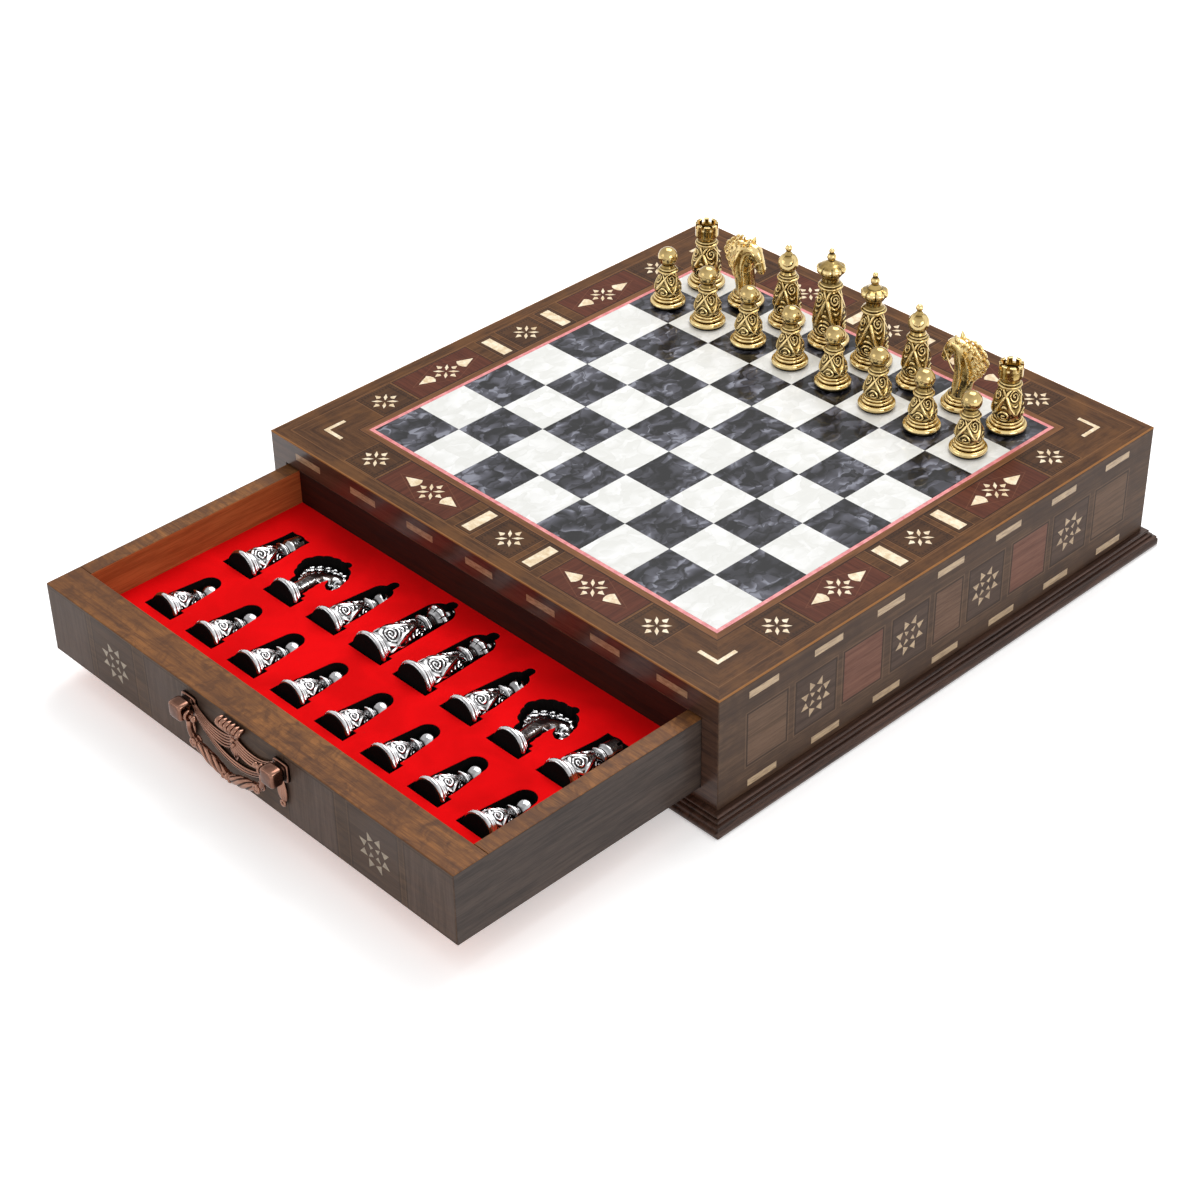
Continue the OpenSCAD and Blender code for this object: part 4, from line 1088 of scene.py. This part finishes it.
def knight_body(solid):
    """Neck and head in one skin, with strands down the neck and a modelled cheek, eye and mouth."""
    stations = spread(KNIGHT_STATIONS, 60)
    a = np.arange(40) * TAU / 40
    back, flank = np.cos(a), np.sin(a)
    rings = []
    for row, (x, z, depth, thick, way) in enumerate(stations):
        along = row / (len(stations) - 1)
        way = math.radians(way)
        strand = 0.32 * bell(along, 0.25, 0.2) * np.sin(7 * a + 9 * along) * abs(flank)
        cheek = 0.9 * bell(along, 0.66, 0.045) * np.maximum(0, -back) * abs(flank) ** 0.5
        socket = -0.8 * bell(along, 0.72, 0.022) * bell(back, 0.45, 0.22)
        mouth = -0.45 * bell(back, -0.42, 0.12) * smooth_step(along, 0.84, 0.9)
        grow = strand + cheek + socket + mouth
        reach, side = (depth + grow) * back, (thick + grow) * flank
        rings.append(path(x + reach * math.sin(way), side, z + FOOT_H - 0.6 - reach * math.cos(way)))
    solid.rings(rings)


def knight_mane(solid):
    """Thick locks that sweep off the neck, each with strands on its sides and a curl at its end."""
    sweep = np.linspace(0, 1, 14)
    belly = np.sin(math.pi * sweep)
    turns = np.linspace(0, 1, 30)
    reach = 2.9 * (1 - turns) ** 0.8 + 0.5
    for i, ((x, z), (root_x, root_z)) in enumerate(zip(MANE_LOCKS, NECK_CREST)):
        run, climb = x - root_x, z - root_z
        solid.tube(path(root_x + run * sweep, 0, root_z + climb * sweep), 3.3 - 0.6 * sweep, 14, flat=0.72)
        spin = math.radians(170 - 25 * i) + turns * TAU * 1.4
        for s in (-1, 1):
            for lane in (-1, 0, 1):
                aside = lane * 1.5 * (1 - 0.6 * sweep) / 9
                solid.tube(path(root_x + run * sweep + aside * climb, s * (3.9 - 1.6 * sweep + 0.5 * belly),
                                root_z - 2.2 + (climb + 2.4) * sweep - aside * run), 0.3 + 0.55 * belly, 7)
            solid.tube(path(x + reach * np.cos(spin), s * (2.2 + 1.5 * turns), z + reach * np.sin(spin)),
                       0.95 - 0.4 * turns, 8)


def knight_mesh():
    """Knight: foot, neck and head, curled locks of mane, ears, eyes, nostrils and a bridle."""
    solid = Solid()
    knight_body(solid)
    knight_mane(solid)
    poll = NECK_H + FOOT_H
    t = np.linspace(0, 1, 9)
    arch = np.sin(math.pi * t)
    for s in (-1, 1):
        ear = path(3 + 1.2 * t + 0.5 * t * t, s * (2.4 + 0.8 * t), poll + 3.0 + 6.3 * t)
        solid.tube(ear, 1.75 * np.sin(math.pi * (0.3 + 0.68 * t)) + 0.12, 12, flat=0.75)
        eye, nostril = (8.2, s * 3.9, poll + 0.6), (13.8, s * 2.3, FOOT_H + 21.0)
        solid.ball(eye, (0.95, 0.6, 0.8), 12, 7)
        brow = path(6.6 + 3.2 * t, s * (4.0 + 0.3 * arch), poll + 1.2 + arch - 1.2 * t)
        solid.tube(brow, 0.3 + 0.25 * arch, 6)
        solid.ball(nostril, (0.7, 0.5, 0.6), 10, 7)
        rein = path(11.2 - 9.5 * t, s * (3.1 + 2.4 * t), FOOT_H + 25.2 - 5.5 * np.sin(1.9 * t) - 3 * t)
        solid.tube(rein, 0.42, 6)
        forelock = path(5.4 + 5.4 * t, s * (0.9 + 0.4 * t), poll + 4.8 - 7.2 * t * t - t)
        solid.tube(forelock, 0.9 * np.sin(math.pi * (0.2 + 0.75 * t)) + 0.1, 8)
    a = np.linspace(0, TAU, 25)
    noseband = path(11.2 + 3.0 * np.cos(a), 3.2 * np.sin(a), FOOT_H + 25.6 + 1.7 * np.cos(a))
    solid.tube(noseband, 0.4, 6)
    profile = foot(BISHOP_R) + [(7.5, FOOT_H), (6.4, FOOT_H + 1.2), (0.001, FOOT_H + 1.2)]
    return join_meshes("knight", [turned_mesh("knight_foot", profile), solid.mesh("knight")])


def finished(mesh, metal):
    """A copy of a piece's mesh in one metal, with its felt sole."""
    made = mesh.copy()
    made.materials.append(paints[metal])
    made.materials.append(paints["felt"])
    felt_top = (FELT_T + 0.02) * MM
    heights = [vertex.co.z for vertex in made.vertices]
    sole = [int(max(heights[i] for i in face.vertices) <= felt_top) for face in made.polygons]
    made.polygons.foreach_set("material_index", sole)
    smooth_casting(made)
    mark_hollows_and_shade(made)
    return made


# Each pattern's mesh, then what it lies on: foot radius, head radius and height of the head's middle
PATTERNS = {
    "pawn": (pawn_mesh, (PAWN_R, BALL_R, PAWN_H - BALL_R)),
    "rook": (rook_mesh, (ROOK_R, CUP_R, ROOK_H)),
    "knight": (knight_mesh, (BISHOP_R, EAR_SIDE, FOOT_H + NECK_H + HEAD_RISE)),
    "bishop": (bishop_mesh, (BISHOP_R, MITRE_R, BISHOP_H - MITRE_DROP)),
    "queen": (lambda: crowned_mesh("queen", QUEEN_H, QUEEN_CAP_R, 5.1, 2.5, 3.3),
              (KING_R, QUEEN_CAP_R, QUEEN_H - CAP_DROP)),
    "king": (lambda: crowned_mesh("king", KING_H, KING_CAP_R, 5.6, 2.8, 4.1),
             (KING_R, KING_CAP_R, KING_H - CAP_DROP)),
}
OFFICERS = ["rook_a", "knight_b", "bishop_c", "king", "queen", "bishop_f", "knight_g", "rook_h"]
PAWNS = ["pawn_" + letter for letter in "abcdefgh"]
LIE_GAP = 0.3


def lying(foot_r, head_r, head_z):
    """Tilt in degrees, and height of the sole's middle, of a piece that lies on its lip and head."""
    run, climb = foot_r - LIP_R, head_z - LIP_Z
    tilt = math.acos((head_r - LIP_R) / math.hypot(run, climb)) - math.atan2(climb, run)
    return math.degrees(tilt), run * math.cos(tilt) + LIP_Z * math.sin(tilt) + LIP_R


def build_sets():
    """Both sets: the gold one stands on its ranks, and the silver one lies in the front drawer's pockets."""
    for pattern, (build, lie) in PATTERNS.items():
        shape = build()
        golden, silvery = finished(shape, "gold"), finished(shape, "silver")
        tilt, up = lying(*lie)
        for names, pocket_y, rank_y in ((PAWNS, PAWN_AT, PAWN_RANK), (OFFICERS, OFFICER_AT, OFFICER_RANK)):
            for i, name in enumerate(names):
                if not name.startswith(pattern):
                    continue
                column = i - 3.5
                turn = turned_by(180 if name == "knight_g" else 0, "Z")
                stand = moved_by(column * SQUARE, rank_y, CASE_H) @ turn
                show_instead("gold_" + name, golden, stand)
                flat = (moved_by(column * POCKET_PITCH, FRONT_Y + pocket_y, POCKET_Z + LIE_GAP + up)
                        @ turned_by(-90 - tilt, "X"))
                show_instead("silver_" + name, silvery, flat)


build_sets()


# ---------------------------------------------------------------- handles

POST_Z = 56.0
POST_AT = 40.0
PIN_OUT = 8.0
BAIL_AT = 31.9
# Post: distance from the drawer front and half width
POST_PROFILE = [(0, 6.3), (1.2, 6.4), (1.9, 6.0), (2.2, 4.9), (3.1, 4.5), (4.1, 5.0), (4.8, 5.4), (5.6, 5.5),
                (8.4, 5.5), (10.4, 5.3), (11.3, 4.9), (11.75, 4.3), (11.95, 3.4)]
# One loop of the bow on top of the plate: points for the outermost loop, and its radii
BOW_LOOP = [(0.2, -2.0, 0.5), (0.65, -4.0, 4.0), (1, -5.2, 7.2), (1, -3.4, 8.4), (1, -0.9, 8.3)]
BOW_RADII = [[0.8], [1.35], [1.6], [1.6], [1.3]]
BOW_LOOPS, BOW_PITCH = 6, 3.5


def hung(half, fall, x):
    """Depth below its ends of an arc that spans 2 * half and falls by fall in the middle."""
    r = (half * half + fall * fall) / (2 * fall)
    return r - fall - np.sqrt(r * r - x * x)


def post(solid, x):
    """A cushion-shaped block on a square rose, growing out of the drawer front along -Y."""
    a = np.arange(48) * TAU / 48
    u, v = (np.copysign(abs(way) ** 0.38, way) for way in (np.cos(a), np.sin(a)))
    solid.rings([path(x + u * half, -out, v * half) for out, half in spread(POST_PROFILE, 45)])


def tassel(solid, x, top, length):
    """Five ribs that swell and close again, hanging from top."""
    t = np.linspace(0, 1, 16)
    belly = np.sin(math.pi * t ** 1.3)
    for k in (-2, 2, -1, 1, 0):
        solid.tube(path(x + k * (0.35 + 1.1 * belly), -1.2 - belly * (0.9 - 0.2 * abs(k)),
                        top - length * t * (1 - 0.04 * abs(k))), 0.55 + 0.5 * belly, 10)


def swag(solid, side, folds=5, half=19.0):
    """Half of the gathered cloth: folds that fan out from the post and gather under the bow."""
    t = np.linspace(0, 1, 31)
    tilt = math.radians(8)
    for k in range(folds):
        u = 2 * half * t - half
        v = hung(half + 0.25, 7.4 + 1.15 * k, u) - 1.5 * k * (1 - t) ** 2
        solid.tube(path(side * (18.25 + u * math.cos(tilt) - v * math.sin(tilt)), -1.1 - 0.25 * k,
                        3 + u * math.sin(tilt) + v * math.cos(tilt)), 0.52 + 0.4 * (1 - t) ** 2, 10)


def plate_mesh():
    """Handle plate: two hanging rods, the swags, tassels, posts with their pins, and the bow."""
    solid = Solid()
    x = np.linspace(-34.5, 34.5, 61)
    for fall, r in ((21.0, 1.2), (18.8, 1.0)):
        solid.tube(path(x, -1.3, hung(35.5, fall, x)), r, 12)
    for side in (LEFT, RIGHT):
        swag(solid, side)
        tassel(solid, side * POST_AT, -4.5, 19.0)
        solid.hoop((side * POST_AT, -2.1, -22.0), 1.6, 0.85)
        post(solid, side * POST_AT)
        solid.tube([(side * x, -PIN_OUT, 0) for x in (35.5, 33, 30, 27)], 1.2, 16)
        solid.ball((side * 27.0, -PIN_OUT, 0), 1.9)
    tassel(solid, 0.0, -1.0, 15.4)
    for k in range(BOW_LOOPS):
        x = (k - (BOW_LOOPS - 1) / 2) * BOW_PITCH
        solid.tube(spread([(share * x, y, z) for share, y, z in BOW_LOOP], 24),
                   spread(BOW_RADII, 24)[:, 0], 12)
    for k in range(6):
        braid = (0.75 * (-1) ** k, -3.0, 2.6 - 1.8 * k)
        solid.ball(braid, (1.3, 1.0, 1.25), 12, 7)
    return solid.mesh("handle_plate")


def bail_mesh():
    """Two veined leaves that meet under a bead, on arms that end in the eyes."""
    bend, turn = 10.0, math.radians(35.2)
    low_r, low_z, bend_z = 48.0, 24.0, -7.06
    bar, leaf_tall, leaf_deep = 1.8, 1.9, 1.3
    # Rows of x, z and how far the arm has become a leaf
    half = [(BAIL_AT, z, 0.0) for z in (-2.8, -4.4, -6.0)]
    half += [(BAIL_AT - bend + bend * math.cos(a), bend_z - bend * math.sin(a), 0.15 * a)
             for a in np.linspace(0, math.pi / 2 - turn, 16)]
    half += [(low_r * math.sin(a), low_z - low_r * math.cos(a), 1.0)
             for a in np.linspace(turn - 0.02, 0, 64)]
    line = np.asarray(half + [(-x, z, leaf) for x, z, leaf in half[-2::-1]])
    ways = np.gradient(line[:, :2], axis=0)
    ways /= np.linalg.norm(ways, axis=1)[:, None]
    angles = np.arange(36) * TAU / 36
    fold = np.abs((angles + math.pi) % TAU - math.pi) / math.pi
    rings = []
    for (x, z, leaf), (way_x, way_z) in zip(line, ways):
        is_leaf = leaf > 0.5
        share = abs(x) / (low_r * math.sin(turn))
        body = math.sin(math.pi * min(share, 1.0)) ** 0.7 * leaf if is_leaf else 0.0
        tall, deep = bar + leaf_tall * body, bar + leaf_deep * body
        vein = np.abs(np.cos(math.pi * (abs(x) / 8.0 - 2.6 * fold)))
        scale = 1 - 0.2 * leaf * (1 - vein ** 0.7) * min(1.0, 0.4 + body)
        inward = tall - 2.0 if is_leaf else 0.0
        up = tall * scale * np.cos(angles)
        rings.append(path(x + way_z * inward - way_z * up, deep * scale * np.sin(angles),
                          z - way_x * inward + way_x * up))
    solid = Solid()
    solid.rings(rings)
    scroll_x, scroll_z = low_r * math.sin(turn), low_z - low_r * math.cos(turn)
    for side in (LEFT, RIGHT):
        solid.hoop((side * BAIL_AT, 0, 0), 2.25, 0.95, "x")
        solid.ball((side * scroll_x, 0, scroll_z), (2.5, 2.6, 2.5))
        for out in (-1.8, 1.8):
            solid.hoop((side * scroll_x, out, scroll_z), 2.3, 0.8)
        solid.hoop((side * 2.9, 0, -23.7), 2.2, 0.75, "x")
    solid.ball((0, 0, -23.6), (2.4, 2.9, 2.4))
    made = solid.mesh("handle_bail")
    made.transform(moved_by(0, -PIN_OUT, 0))
    return made


def plate_shade(points):
    """Darkens what lies close to the drawer front."""
    return 0.45 * np.clip((points[:, 1] + 2.1) / 0.9, 0, 1)


def build_handles():
    plate, bail = plate_mesh(), bail_mesh()
    for mesh, shade in ((plate, plate_shade), (bail, None)):
        mesh.materials.append(paints["copper"])
        smooth_casting(mesh)
        mark_hollows_and_shade(mesh, shade)
    for end, outward in DRAWERS.items():
        low, high = box_of(end + "_handle_plate")
        face = high.y if outward < 0 else low.y
        place = moved_by(0, face, POST_Z) @ turned_by(0 if outward < 0 else 180, "Z")
        show_instead(end + "_handle_plate", plate, place)
        show_instead(end + "_handle_bail", bail, place)


build_handles()


# ---------------------------------------------------------------- room, lights and camera

# The floor is in millimetres like the other meshes, and the lamps and the camera are in metres
FLOOR_HALF = 4000.0
# The dome's brightness from straight down (0) over the horizon (0.5) to straight up (1)
DOME_STOPS = [(0.0, 0.75), (0.45, 0.5), (0.52, 0.08), (0.66, 0.14), (0.8, 0.35), (0.9, 1.0), (1.0, 1.1)]
DOME_STRENGTH = 0.9


def build_floor():
    corners = [(x * FLOOR_HALF, y * FLOOR_HALF, 0) for x, y in ((-1, -1), (1, -1), (1, 1), (-1, 1))]
    mesh = mesh_from("studio_floor", corners, [(0, 1, 2, 3)])
    p = Paint("studio_floor_paper", rough=0.9, specular=0.2)
    p.tone = p.mix(p.noise(0.4, 2, 0.5), (0.92, 0.92, 0.92), (0.96, 0.96, 0.96))
    p.shader.inputs["Emission Color"].default_value = (1, 1, 1, 1)
    p.shader.inputs["Emission Strength"].default_value = 0.4
    mesh.materials.append(p.done())
    add_object("studio_floor", mesh)


def softbox(name, place, target, size, power):
    light = bpy.data.lights.new(name, "AREA")
    light.shape = "RECTANGLE"
    light.size, light.size_y = size
    light.energy = power
    lamp = add_object(name, light)
    lamp.location = place
    lamp.rotation_euler = (Vector(target) - Vector(place)).to_track_quat("-Z", "Y").to_euler()


def build_world():
    """White for the camera and for mirrors, a soft grey dome with a darker horizon as light."""
    world = bpy.data.worlds.new("studio_world")
    bpy.context.scene.world = world
    world.use_nodes = True
    tree = world.node_tree
    tree.nodes.clear()
    link = tree.links.new

    def node(kind, operation=None):
        made = tree.nodes.new("ShaderNode" + kind)
        if operation:
            made.operation = operation
        return made

    ramp = node("ValToRGB")
    stops = ramp.color_ramp.elements
    stops[0].position = DOME_STOPS[0][0]
    stops[1].position = DOME_STOPS[-1][0]
    for place, _ in DOME_STOPS[1:-1]:
        stops.new(place)
    for stop, (place, level) in zip(stops, DOME_STOPS):
        stop.position = place
        stop.color = (level, level, level, 1)
    split, lift, dome = node("SeparateXYZ"), node("Math", "MULTIPLY_ADD"), node("Background")
    link(node("TexCoord").outputs["Generated"], split.inputs[0])
    link(split.outputs[2], lift.inputs[0])
    lift.inputs[1].default_value = lift.inputs[2].default_value = 0.5
    link(lift.outputs[0], ramp.inputs[0])
    link(ramp.outputs[0], dome.inputs[0])
    dome.inputs[1].default_value = DOME_STRENGTH
    rays = node("LightPath")
    seen = rays.outputs["Is Camera Ray"]
    for ray in ("Is Glossy Ray", "Is Transmission Ray"):
        either = node("Math", "MAXIMUM")
        link(seen, either.inputs[0])
        link(rays.outputs[ray], either.inputs[1])
        seen = either.outputs[0]
    white, blend = node("Background"), node("MixShader")
    white.inputs[0].default_value = (1, 1, 1, 1)
    link(seen, blend.inputs[0])
    link(dome.outputs[0], blend.inputs[1])
    link(white.outputs[0], blend.inputs[2])
    link(blend.outputs[0], node("OutputWorld").inputs[0])


def build_camera():
    """The photo's camera, solved from the corners of the playing field and the case."""
    data = bpy.data.cameras.new("camera")
    data.sensor_width = 36.0
    data.lens = 78.15
    data.clip_end = 20
    camera = add_object("camera", data)
    camera.location = (0.9245, -0.9672, 0.9300)
    camera.rotation_euler = [math.radians(a) for a in (53.996, 0.874, 46.027)]
    bpy.context.scene.camera = camera


build_floor()
softbox("top_softbox", (-0.4, 0.9, 1.8), (0, -0.05, 0.05), (1.5, 1.3), 27)
softbox("front_softbox", (-0.9, -1.8, 0.9), (0, -0.1, 0.05), (1.2, 0.9), 4)
softbox("right_softbox", (2.0, -0.3, 0.8), (0, -0.1, 0.05), (1.0, 0.9), 9)
build_world()
build_camera()
bpy.context.scene.view_settings.view_transform = "Standard"
